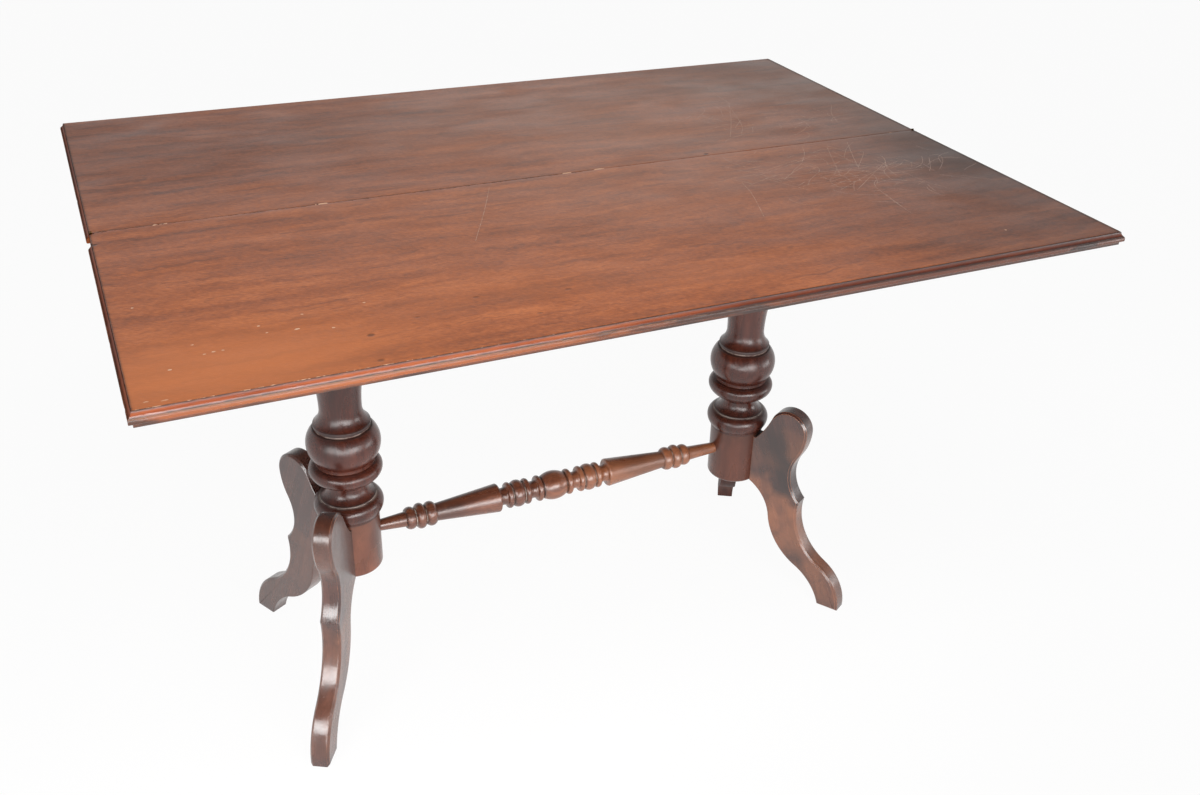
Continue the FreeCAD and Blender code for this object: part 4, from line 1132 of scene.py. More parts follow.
class ScratchTree(ShapeTree):
    """Draws a thin raised line along each path."""

    def __init__(self) -> None:
        """Builds the tree."""
        super().__init__("draw_scratches")
        width = self.size("Width")
        height = self.size("Height")
        paths = self.node("GeometryNodeMeshToCurve", {"Mesh": self.start}).outputs[0]
        flat = self.node("GeometryNodeSetCurveNormal", {"Curve": paths}, mode="Z_UP").outputs[0]
        ring = self.node("GeometryNodeCurvePrimitiveCircle", {"Resolution": 4, "Radius": 0.5}).outputs["Curve"]
        scale = self.node("ShaderNodeCombineXYZ", {0: width, 1: height, 2: 1.0}).outputs[0]
        section = self.node("GeometryNodeTransform", {"Geometry": ring, "Scale": scale}).outputs[0]
        feeds = {"Curve": flat, "Profile Curve": section, "Fill Caps": True}
        self.close(self.node("GeometryNodeCurveToMesh", feeds).outputs[0])


@dataclass
class Section:
    """A finished section: its points in millimetres, and how worn, dirty and dusty each is, the dirt partly painted
    shade and the dust partly painted highlight.
    """

    points: list[Point]
    wear: list[float]
    grime: list[float]
    dust: list[float]

    MARKS = ("wear", "grime", "dust")

    def mesh(self, name: str, ring: bool = False) -> Mesh:
        """Lays the section out as a row of points for a tree to read.

        Args:
            name: The mesh's name.
            ring: Whether the row ends on its first point.

        Returns:
            The mesh of loose points.
        """
        row = self.points + self.points[:1] if ring else self.points
        mesh = bpy.data.meshes.new(name)
        mesh.from_pydata([(out * MM, 0.0, along * MM) for out, along in row], [], [])
        for mark in self.MARKS:
            values = getattr(self, mark)
            carry(mesh, mark, values + values[:1] if ring else values)
        return mesh


class Profile:
    """A section drawn point by point in millimetres: distance out, then distance along."""

    STEPS = 9
    CORNER = math.radians(24)
    FULL_BEND = 0.9
    WEAR_REACH = 1.3
    GRIME_AND_SHADE_REACH = 1.8
    BARED_AND_HIGHLIT_REACH = 0.8
    DUST_AND_HIGHLIGHT_REACH = 1.3

    def __init__(self, out: float, along: float) -> None:
        """Starts at a point.

        Args:
            out: Its distance out.
            along: Its distance along.
        """
        self.points: list[Point] = [(out, along)]
        self.quirks: list[Point] = []
        self.rubbed: list[Point] = []

    def middle(self) -> Point:
        """Gives the middle of the stretch just drawn."""
        first, last = self.points[-2:]
        return (first[0] + last[0]) / 2, (first[1] + last[1]) / 2

    def dusty_and_highlit(self) -> "Profile":
        """Marks the stretch just drawn as one where pale dust settles and a painted highlight lies."""
        self.quirks.append(self.middle())
        return self

    def bared_and_highlit(self) -> "Profile":
        """Marks the stretch just drawn as pale: rubbed bare by hands, and at one place a painted highlight."""
        self.rubbed.append(self.middle())
        return self

    def line(self, out: float, along: float) -> "Profile":
        """Draws a straight stretch."""
        self.points.append((out, along))
        return self

    def round_to(self, out: float, along: float, level_at_end: bool) -> "Profile":
        """Draws an arc that runs along the axis at one of its ends.

        Args:
            out: Where it ends, out from the axis.
            along: Where it ends, along the axis.
            level_at_end: Whether it is level where it ends, and not where it starts.

        Returns:
            The profile.
        """
        first, last = self.points[-1], (out, along)
        level, other = (last, first) if level_at_end else (first, last)
        rise, run = other[0] - level[0], other[1] - level[1]
        radius = (rise * rise + run * run) / (2 * abs(rise))
        side = math.copysign(1.0, rise)
        sweep = math.atan2(run, radius - abs(rise))
        stretch = []
        for step in range(1, self.STEPS + 1):
            angle = sweep * step / self.STEPS
            stretch.append((level[0] + side * radius * (1 - math.cos(angle)), level[1] + radius * math.sin(angle)))
        if level_at_end:
            stretch = stretch[-2::-1] + [last]
        self.points.extend(stretch)
        return self

    def swell(self, crest: Point, end: Point) -> "Profile":
        """Draws a bead or a hollow through its crest."""
        return self.round_to(crest[0], crest[1], True).round_to(end[0], end[1], False)

    def ogee(self, out: float, along: float) -> "Profile":
        """Draws two equal arcs that are level at both ends.

        Args:
            out: Where they end, out from the axis.
            along: Where they end, along the axis.

        Returns:
            The profile.
        """
        first = self.points[-1]
        self.round_to((first[0] + out) / 2, (first[1] + along) / 2, False)
        return self.round_to(out, along, True)

    def arc(self, through: Point, end: Point) -> "Profile":
        """Draws an arc through a point."""
        self.points.extend(arc_points(self.points[-1], through, end, self.STEPS)[1:])
        return self

    @staticmethod
    def near(point: Sequence[float], place: Sequence[float], reach: float) -> float:
        """Gives how near two points are: 1 where they meet, and next to 0 past twice the reach."""
        return math.exp(-((Vector(point) - Vector(place)).length / reach) ** 2)

    def eased(self, radius: float, closed: bool = False) -> Section:
        """Rounds the corners, and marks the outer ones as worn and the inner ones as dirty and in painted shade.

        Args:
            radius: How far from a corner its rounding starts.
            closed: Whether the profile is a ring.

        Returns:
            The finished section.
        """
        points = [Vector(point) for point in self.points]
        made: list[Point] = []
        corners: list[tuple[Vector, float]] = []
        for number, here in enumerate(points):
            if not closed and number in (0, len(points) - 1):
                made.append(tuple(here))
                continue
            before, after = points[number - 1] - here, points[(number + 1) % len(points)] - here
            bend = math.pi - before.angle(after)
            if bend < self.CORNER:
                made.append(tuple(here))
                continue
            turn = before.x * after.y - before.y * after.x
            corners.append((here, math.copysign(min(1.0, bend / self.FULL_BEND), turn)))
            first = here + before.normalized() * min(radius, before.length * 0.42)
            last = here + after.normalized() * min(radius, after.length * 0.42)
            for step in range(4):
                share = step / 3
                made.append(tuple(first * (1 - share) ** 2 + here * 2 * share * (1 - share) + last * share * share))
        section = Section(made, [], [], [])
        for point in made:
            edges = [sharp * self.near(point, corner, self.WEAR_REACH if sharp > 0 else self.GRIME_AND_SHADE_REACH)
                     for corner, sharp in corners]
            bared_and_highlit = [1.25 * self.near(point, place, self.BARED_AND_HIGHLIT_REACH) for place in self.rubbed]
            section.wear.append(max(edges + bared_and_highlit + [0.0]))
            section.grime.append(max([-edge for edge in edges] + [0.0]))
            section.dust.append(max([self.near(point, quirk, self.DUST_AND_HIGHLIGHT_REACH) for quirk in self.quirks] + [0.0]))
        return section


def arc_points(first: Point, middle: Point, last: Point, steps: int) -> list[Point]:
    """Samples the arc through three points.

    Args:
        first: Where it starts.
        middle: A point on it.
        last: Where it ends.
        steps: How many chords it gets.

    Returns:
        The points, both ends among them.
    """
    (ax, ay), (bx, by), (cx, cy) = first, middle, last
    twice = 2 * (ax * (by - cy) + bx * (cy - ay) + cx * (ay - by))
    a2, b2, c2 = ax * ax + ay * ay, bx * bx + by * by, cx * cx + cy * cy
    ox = (a2 * (by - cy) + b2 * (cy - ay) + c2 * (ay - by)) / twice
    oy = (a2 * (cx - bx) + b2 * (ax - cx) + c2 * (bx - ax)) / twice
    start, mid, stop = (math.atan2(y - oy, x - ox) for x, y in (first, middle, last))
    forward = (mid - start) % math.tau < (stop - start) % math.tau
    sweep = (stop - start) % math.tau if forward else -((start - stop) % math.tau)
    radius = math.hypot(ax - ox, ay - oy)
    return [(ox + radius * math.cos(start + sweep * i / steps), oy + radius * math.sin(start + sweep * i / steps))
            for i in range(steps + 1)]


@dataclass
class Columns:
    """The two turned columns."""

    spread: float = 327.0
    steps_round: int = 128
    ease: float = 0.7
    grain_turn: float = 1.2

    def profile(self) -> Profile:
        """Draws the column from its foot to its tenon.

        Returns:
            The profile.
        """
        shape = Profile(0, 190).line(37.5, 190).arc((41.04, 191.46), (42.5, 195)).line(42.5, 282.5)
        shape.line(44, 282.5).line(44, 285.5).swell((50.2, 300.5), (41.5, 313.5))
        shape.line(40, 313.5).dusty_and_highlit().line(40, 315.5).swell((28.5, 333.5), (36.5, 343.5))
        shape.line(38, 343.5).line(38, 345.5).swell((52.3, 361.5), (44, 371.5))
        shape.line(41, 371.5).line(41, 376.5).swell((52.5, 404.5), (41.5, 430))
        shape.line(38.5, 430).line(38.5, 432.5).dusty_and_highlit().line(40.2, 432.5).line(40.2, 437)
        shape.round_to(29.6, 460, True).ogee(42, 575).round_to(33, 654, False)
        shape.line(36.5, 654).swell((44.5, 664), (38, 672.5)).line(38, 676).line(44, 676).line(44, 699.7)
        return shape.line(16, 699.7).line(16, 741.2).line(0, 741.2)

    def build(self, shop: Workshop, lathe: LatheTree, finishes: Finishes) -> None:
        """Turns both columns.

        Args:
            shop: Where pieces are placed.
            lathe: The tree that turns a profile.
            finishes: The table's materials.
        """
        section = self.profile().eased(self.ease)
        for side, name in ((-1, "left"), (1, "right")):
            mesh = lathe.grow(section.mesh("column_profile"), Steps_Round=self.steps_round,
                              Profile_Points=len(section.points), Finish=finishes.column)
            turned = Matrix.Rotation(side * self.grain_turn, 4, "Z")
            mesh.transform(Matrix.Translation((side * self.spread * MM, 0, 0)) @ turned)
            node = f"column_{name}"
            shop.place(f"turned_{node}", shop.tidy(mesh), finishes.column, Body.BASE, Slot.COLUMN, node)


@dataclass
class Stretcher:
    """The turned bar between the columns."""

    height: float = 244.0
    shift: float = 5.7
    drum: float = 284.5
    tenon: float = 22.0
    tenon_radius: float = 8.7
    neck_radius: float = 11.6
    steps_round: int = 96
    ease: float = 0.45

    def half(self) -> Profile:
        """Draws the turned half of the bar, from the middle of its ball to its last ring.

        Returns:
            The profile.
        """
        shape = Profile(23, 0).round_to(17, 19.5, False).line(15.5, 19.5).line(15.5, 20.9)
        shape.line(17.3, 20.9).swell((20.6, 25.1), (17.3, 29.3)).line(15.5, 29.3).swell((13.4, 35.3), (15.5, 41.3))
        shape.line(17.3, 41.3).swell((20.6, 45.5), (17.3, 49.7)).line(15.5, 49.7).line(15.5, 51.1).dusty_and_highlit()
        shape.line(17, 51.1).swell((21.4, 60.2), (17, 69.3)).line(15.5, 69.3).line(15.5, 70.7).dusty_and_highlit()
        shape.line(17.3, 70.7).swell((20.6, 74.9), (17.3, 79.1)).line(15.5, 79.1).swell((13.4, 85.1), (15.5, 91.1))
        shape.line(20, 91.1).arc((22.0, 92.6), (22.4, 95.1)).line(13.5, 192.8).line(14.4, 192.8)
        shape.swell((19, 200.8), (14.4, 208.8)).line(13.5, 208.8).line(13.5, 209.6).dusty_and_highlit()
        shape.line(14.4, 209.6).swell((19.8, 217), (14.4, 224.4)).line(13.5, 224.4).line(13.5, 225.2).dusty_and_highlit()
        return shape.line(13.9, 225.2).swell((17.4, 232.6), (13.9, 240))

    def build(self, shop: Workshop, lathe: LatheTree, finishes: Finishes) -> None:
        """Turns the bar.

        Args:
            shop: Where pieces are placed.
            lathe: The tree that turns a profile.
            finishes: The table's materials.
        """
        half = self.half()
        left, right = self.drum - self.shift, self.drum + self.shift
        tip, neck, last = self.tenon_radius, self.neck_radius, half.points[-1][1]
        whole = Profile(0, -left - self.tenon).line(tip, -left - self.tenon).line(tip, -left).line(neck, -last)
        whole.points += [(out, -along) for out, along in reversed(half.points[1:])] + half.points
        whole.quirks = half.quirks + [(out, -along) for out, along in half.quirks]
        whole.line(neck, last).line(tip, right).line(tip, right + self.tenon).line(0, right + self.tenon)
        section = whole.eased(self.ease)
        mesh = lathe.grow(section.mesh("stretcher_profile"), Steps_Round=self.steps_round,
                          Profile_Points=len(section.points), Finish=finishes.stretcher)
        lying = Matrix.Rotation(math.pi / 2, 4, "Y")
        mesh.transform(Matrix.Translation((-self.shift * MM, 0, self.height * MM)) @ lying)
        shop.place("turned_stretcher", shop.tidy(mesh), finishes.stretcher, Body.BASE, Slot.STRETCHER, "stretcher")


@dataclass
class Legs:
    """The four scrolled legs, each sawn from a plank and eased round its outer arrises."""

    spread: float = 327.0
    thickness: float = 27.5
    chamfer: float = 3.2
    ease: float = 0.8
    lean: float = 0.34

    # Each ring over an arris: how far round it is, how far past its end, and how worn.
    ARRIS = (
        (0.0, -4.0, 0.0), (0.0, -0.7, 0.1), (0.02, -0.1, 1.0), (0.09, 0.0, 1.0), (0.22, 0.0, 0.1), (0.5, 0.0, 0.0),
        (0.78, 0.0, 0.1), (0.91, 0.0, 1.0), (0.98, 0.1, 1.0), (1.0, 0.7, 0.1), (1.0, 4.0, 0.0))

    def outline(self) -> tuple[list[Point], list[float]]:
        """Draws the leg's outline, from the column's seat down the inner side and up the outer side.

        Returns:
            The points in millimetres, and the width of the eased arris at each.
        """
        inner: list[Point] = [(40.21, 192.0)]
        hollows = (
            ((66.5, 172.0), (82.0, 137.0)), ((101.5, 90.5), (146.0, 56.0)), ((176.0, 31.0), (192.0, 0.0)))
        for through, end in hollows:
            inner += arc_points(inner[-1], through, end, 14)[1:]
        outer: list[Point] = [(228.5, 0.0)]
        rounds = (
            ((148.57, 3.30), (186.0, 74.0), 14, False), ((233.0, 162.8), (134.4, 182.0), 18, False),
            ((182.1, 231.2), (122.0, 264.0), 14, False), ((35.96, 311.0), (134.0, 311.0), 10, False),
            ((100.9, 311.0), (73.0, 328.8), 26, True))
        for centre, end, steps, upward in rounds:
            outer += self.sweep(outer[-1], centre, end, steps, upward)[1:]
        back = arc_points(outer[-1], (60.5, 300.5), (44.71, 277.5), 12)[1:] + [(40.21, 277.5)]
        arris = [self.ease] * len(inner) + [self.chamfer] * len(outer) + [self.ease] * len(back)
        return inner + outer + back, arris

    def sweep(self, first: Point, centre: Point, last: Point, steps: int, upward: bool) -> list[Point]:
        """Samples an arc between two points about a centre.

        Args:
            first: Where it starts.
            centre: Its centre.
            last: Where it ends.
            steps: How many chords it gets.
            upward: Whether it turns anticlockwise whatever its length, and isn't just the shorter one.

        Returns:
            The points, both ends among them.
        """
        start = math.atan2(first[1] - centre[1], first[0] - centre[0])
        turn = (math.atan2(last[1] - centre[1], last[0] - centre[0]) - start + math.pi) % math.tau - math.pi
        if upward:
            turn %= math.tau
        reach = [math.hypot(point[0] - centre[0], point[1] - centre[1]) for point in (first, last)]
        made = []
        for step in range(steps + 1):
            share = step / steps
            radius = reach[0] + (reach[1] - reach[0]) * share
            angle = start + turn * share
            made.append((centre[0] + radius * math.cos(angle), centre[1] + radius * math.sin(angle)))
        return made

    def mesh(self, name: str, shift: float, rubbed: float) -> Mesh:
        """Builds one leg in its own plane.

        Args:
            name: The mesh's name.
            shift: How far its plank's pattern is moved.
            rubbed: How worn its sides are.

        Returns:
            The mesh, with its length along X and its thickness along Y.
        """
        points, arris = self.outline()
        count, half = len(points), self.thickness / 2
        around = [Vector(point) for point in points]
        inward = []
        for number in range(count):
            before = (around[number] - around[number - 1]).normalized()
            after = (around[(number + 1) % count] - around[number]).normalized()
            normal = (Vector((-before.y, before.x)) + Vector((-after.y, after.x))).normalized()
            inward.append(normal / max(0.45, normal.dot(Vector((-before.y, before.x)))))
        rings: list[list[tuple[float, float, float]]] = []
        for share, past, mark in self.ARRIS:
            inset = [(1 - share) * width + max(0.0, -past) for width in arris]
            across = [half - share * width - max(0.0, past) for width in arris]
            rings.append([(inset[number], across[number], mark) for number in range(count)])
        rings += [[(inset, -across, mark) for inset, across, mark in ring] for ring in reversed(rings)]
        vertices, wear, plank, side_view = [], [], [], []
        tilt = Matrix.Rotation(self.lean, 3, "Y")
        for ring in rings:
            for number, (inset, across, mark) in enumerate(ring):
                flat = around[number] + inward[number] * inset
                vertices.append((flat.x * MM, across * MM, flat.y * MM))
                wear.append(mark)
                plank.append(tilt @ Vector(vertices[-1]) + Vector((shift, shift * 0.7, shift * 1.3)))
                side_view.append((flat.x * MM, flat.y * MM, across * MM))
        mesh = bpy.data.meshes.new(name)
        mesh.from_pydata(vertices, [], tube_faces(len(rings), count))
        marks = {"wear": wear, "rubbed": [rubbed] * len(vertices), "plank": plank, "side_view": side_view}
        for mark, values in marks.items():
            carry(mesh, mark, values)
        return mesh

    def build(self, shop: Workshop, finishes: Finishes) -> None:
        """Saws the legs and sets them round the columns.

        Args:
            shop: Where pieces are placed.
            finishes: The table's materials.
        """
        # The rear right leg, which stands in shade, takes the duller copy and no rubbing: partly painted shade.
        # Each leg: its name, its column's side, its turn in degrees, how rubbed it is and its finish.
        places = (
            ("right_front", 1, -60, 1.0, finishes.leg), ("right_rear", 1, 60, 0.0, finishes.leg_dull_for_shade),
            ("left_front", -1, -120, 0.45, finishes.leg), ("left_rear", -1, 120, 0.2, finishes.leg))
        for number, (name, side, angle, rubbed, finish) in enumerate(places):
            mesh = self.mesh(f"leg_{name}", 0.31 * number, rubbed)
            turned = Matrix.Rotation(math.radians(angle), 4, "Z")
            mesh.transform(Matrix.Translation((side * self.spread * MM, 0, 0)) @ turned)
            shop.place(f"scrolled_leg_{name}", shop.tidy(mesh), finish, Body.BASE, Slot.LEG, f"leg_{name}")


@dataclass(frozen=True)
class Chip:
    """A place where the top's edge has broken away beside the seam, in millimetres."""

    x: float
    half: float
    depth: float
    pale: float = 0.0


@dataclass
class Leaf:
    """One half of the top: its panel and its moulded edge."""

    name: str
    side: int
    body: Body
    chips: tuple[Chip, ...]
    seed: int
    half_length: float = 602.0
    depth: float = 439.0
    top: float = 760.0
    thickness: float = 18.0
    seam: float = 0.2
    step: float = 2.0
    missing: float = 30.0
    ragged: float = 4.0
    knocks: float = 0.55
    end_drop: float = 0.45
    dirty_left: float = 2.2
    dirty_right: float = 7.0

    # The rows of a panel's section that the seam has torn, and those that its ends sink.
    TORN_ROWS = range(2, 5)
    TOP_ROWS = range(3, 12)
    # The hinge plate's and the hinge eye's places in an end: out, from the seam and up, each from and to.
    HINGE_PLACES = (
        ((598.8, -1.0, 746.3), (606.0, 32.2, 755.7)), ((598.8, -1.0, 755.0), (606.0, 4.2, 763.0)))

    def stations(self) -> list[float]:
        """Gives the panel's columns along its length.

        Returns:
            Their places along X in millimetres.
        """
        count = int(self.half_length // self.step)
        inner = [number * self.step for number in range(-count + 1, count)]
        edge = self.half_length
        return [-edge, -edge + 0.5] + inner + [edge - 0.5, edge]

    def age(self, x: float) -> float:
        """Gives how worn the seam is, less towards the right."""
        return 1.0 - 0.6 * min(1.0, max(0.0, (x + 100) / 300))

    def broken(self, x: float) -> tuple[float, float]:
        """Gives the loss at the seam's edge at one place.

        Args:
            x: Where along the seam.

        Returns:
            How deep the edge is broken, and how pale the break is.
        """
        frayed = abs(noise.noise((x * 0.11, self.seed, 0))) * 0.9 + abs(noise.noise((x * 0.45, self.seed, 5))) * 0.7
        depth, pale = (0.3 + 2.0 * frayed) * self.age(x), 0.0
        for chip in self.chips:
            gone = 1 - ((x - chip.x) / chip.half) ** 2
            if gone > 0:
                torn = chip.depth * gone ** 0.6 * (0.75 + 0.6 * noise.noise((x * 0.35, self.seed, 9)))
                if torn > depth:
                    depth, pale = torn, chip.pale
        return depth, pale

    def panel(self) -> Mesh:
        """Builds the panel with its broken seam edge.

        Returns:
            The mesh.
        """
        near, far, top, low = self.seam, self.depth, self.top, self.top - self.thickness
        vertices = []
        marks: dict[str, list[float]] = {"grime": [], "chip": []}
        stations = self.stations()
        for x in stations:
            loss, pale = self.broken(x)
            end = self.end_drop if abs(x) == self.half_length else 0.0
            dirty = self.dirty_right if x > 0 else self.dirty_left
            edge = 0.9 * max(0.0, 1.0 - (self.half_length - abs(x)) / dirty)
            handled = 0.25 + 0.75 * min(1.0, max(0.0, (150 - x) / 500))
            sink = min(3.5, 0.35 + loss * 0.7)
            # Each row: distance from the seam, height, dirt and bare wood.
            rows = (
                (near, low, 0.2, 0.0), (near, top - sink - 1.2, 1.0, 0.0), (near + loss * 0.3, top - sink, 0.8, pale),
                (near + loss * 0.75, top - sink * 0.45, 0.6, pale), (near + loss + 0.25, top - 0.04, 0.45, pale * 0.5),
                (near + loss + 0.7, top, 0.0, 0.0), (near + 9.0, top, 0.0, 0.0), (near + 60.0, top, 0.0, 0.0),
                (near + 220.0, top, 0.0, 0.0), (far - 4.0, top, 0.0, 0.0), (far - 1.1, top, 0.0, 0.1),
                (far - 0.35, top - 0.08, 0.25, 0.5 * handled), (far, top - 0.5, 1.0, 0.4 * handled),
                (far, low, 0.2, 0.0))
            for number, (out, rise, dirt_and_shade, bare) in enumerate(rows):
                drop = end if number in self.TOP_ROWS else 0.0
                vertices.append((x * MM, self.side * out * MM, (rise - drop) * MM))
                marks["grime"].append(max(edge, dirt_and_shade * (self.age(x) if number in self.TORN_ROWS else 1.0)))
                marks["chip"].append(bare)
        mesh = bpy.data.meshes.new(f"{self.name}_panel")
        mesh.from_pydata(vertices, [], tube_faces(len(stations), len(rows)))
        for mark, values in marks.items():
            carry(mesh, mark, values)
        return mesh

    def let_in(self, shop: Workshop, mesh: Mesh) -> Mesh:
        """Cuts the hinges' places into the panel's ends.

        Args:
            shop: Where meshes are tidied.
            mesh: The panel.

        Returns:
            The cut panel.
        """
        spans = []
        for hand in (-1, 1):
            for lows, highs in self.HINGE_PLACES:
                low, high = Vector(lows) * MM, Vector(highs) * MM
                middle = (low + high) / 2 * Vector((hand, self.side, 1))
                spans.append((middle, high - low))
        return shop.tidy(carved(shop.tidy(mesh), box_mesh("hinge_places", spans), crossing=True))

    def section(self) -> Profile:
        """Draws the moulding's section, out from the panel and up from the floor.

        Returns:
            The profile.
        """
        top = self.top
        shape = Profile(0, top - 18).line(0.8, top - 18).line(0.8, top - 13.2)
        # The pale line on the fascia's lower rounding is a painted highlight; the pale nose top above is rubbed bare.
        shape.line(3.4, top - 13.2).line(4.2, top - 12.9).bared_and_highlit()
        shape.arc((4.75, top - 12.25), (4.92, top - 11.4)).arc((4.99, top - 9.6), (4.75, top - 7.7))
        shape.line(4.3, top - 6.95).bared_and_highlit().line(3.9, top - 6.75).line(3.9, top - 6.3)
        return shape.arc((1.75, top - 4.3), (0.55, top - 0.55)).line(0, top - 0.5)

    def strip(self, shop: Workshop, run: MouldingTree, material: Material, label: str, length: float,
              ends: tuple[End, End], place: Matrix, broken: float = 0.0) -> None:
        """Runs one strip of the moulding.

        Args:
            shop: Where pieces are placed.
            run: The tree that runs a section along an edge.
            material: Its finish.
            label: Which strip it is.
            length: Its length at the panel's edge in millimetres.
            ends: How it starts and how it ends.
            place: Where its start lies, with X along the strip and Y outwards.
            broken: How ragged its start is, in millimetres.
        """
        section = self.section().eased(0.3, closed=True)
        mesh = run.grow(
            section.mesh("moulding_section", ring=True), Steps_Along=max(20, int(length / 4)),
            Profile_Points=len(section.points) + 1, Length=length * MM,
            Start_Cut=ends[0].value, End_Cut=ends[1].value, Broken=broken * MM, Knocks=self.knocks * MM,
            Seed=float(self.seed + len(label)), Finish=material)
        mesh.transform(place)
        node = f"{self.name}_moulding_{label}"
        shop.place(f"edge_{node}", shop.tidy(mesh, close=True), material, self.body, Slot.MOULDING, node)

    def build(self, shop: Workshop, run: MouldingTree, finishes: Finishes) -> None:
        """Builds the leaf.

        Args:
            shop: Where pieces are placed.
            run: The tree that runs a section along an edge.
            finishes: The table's materials.
        """
        panel = self.let_in(shop, self.panel())
        shop.place(f"{self.name}_leaf_panel", panel, finishes.top, self.body, Slot.TOP, f"{self.name}_leaf")
        far, edge = self.side * self.depth * MM, self.half_length * MM
        across = Matrix(((1, 0, 0, -edge), (0, self.side, 0, far), (0, 0, 1, 0), (0, 0, 0, 1)))
        self.strip(shop, run, finishes.moulding, "long", 2 * self.half_length, (End.MITRE, End.MITRE), across)
        for hand, label in ((-1, "left"), (1, "right")):
            gap = self.missing if (self.side < 0 and hand < 0) else 0.0
            begin = self.side * (self.seam + gap) * MM
            along = Matrix(((0, hand, 0, hand * edge), (self.side, 0, 0, begin), (0, 0, 1, 0), (0, 0, 0, 1)))
            self.strip(shop, run, finishes.moulding_ends, label, self.depth - self.seam - gap,
                       (End.SQUARE, End.MITRE), along, self.ragged if gap else 0.0)


@dataclass
class Scratches:
    """The fine lines that use has left on one leaf's polish."""

    name: str
    body: Body
    paths: tuple[tuple[Point, ...], ...]
    clouds: tuple[tuple[float, float, float, float, int], ...]
    limit: tuple[float, float]
    seed: int
    width: float = 0.36
    height: float = 0.05
    top: float = 760.0
    half_length: float = 596.0
    pace: float = 3.2

    def smooth(self, path: Sequence[Point]) -> list[Point]:
        """Rounds a traced path.

        Args:
            path: Its points in millimetres.

        Returns:
            More points, without the corners.
        """
        points = [Vector(point) for point in path]
        for _ in range(3):
            finer = [points[0]]
            for first, last in zip(points, points[1:]):
                finer += [first.lerp(last, 0.25), first.lerp(last, 0.75)]
            points = finer + [points[-1]]
        return [tuple(point) for point in points]

    def curls(self) -> list[list[Point]]:
        """Draws short curling strokes in each cloud.

        Returns:
            The strokes.
        """
        draw = random.Random(self.seed)
        made = []
        for x, y, wide, deep, count in self.clouds:
            for _ in range(count):
                here = Vector((draw.gauss(x, wide), draw.gauss(y, deep)))
                heading, bend = draw.uniform(0, math.tau), draw.gauss(0, 0.05)
                stroke = []
                for _ in range(draw.randint(6, 26)):
                    if not self.limit[0] < here.y < self.limit[1] or abs(here.x) > self.half_length:
                        break
                    stroke.append(tuple(here))
                    here = here + Vector((math.cos(heading), math.sin(heading))) * self.pace
                    bend = bend * 0.95 + draw.gauss(0, 0.02)
                    heading += bend
                if len(stroke) > 3:
                    made.append(stroke)
        return made

    def build(self, shop: Workshop, draw: ScratchTree, finishes: Finishes) -> None:
        """Draws the scratches as one piece.

        Args:
            shop: Where pieces are placed.
            draw: The tree that draws a line along each path.
            finishes: The table's materials.
        """
        vertices, edges = [], []
        for stroke in [self.smooth(path) for path in self.paths] + self.curls():
            first = len(vertices)
            vertices += [(x * MM, y * MM, self.top * MM) for x, y in stroke]
            edges += [(first + number, first + number + 1) for number in range(len(stroke) - 1)]
        start = bpy.data.meshes.new("scratch_paths")
        start.from_pydata(vertices, edges, [])
        mesh = draw.grow(start, Width=self.width * MM, Height=self.height * MM, Finish=finishes.scratch)
        shop.place(self.name, shop.tidy(mesh), finishes.scratch, self.body, Slot.TOP)


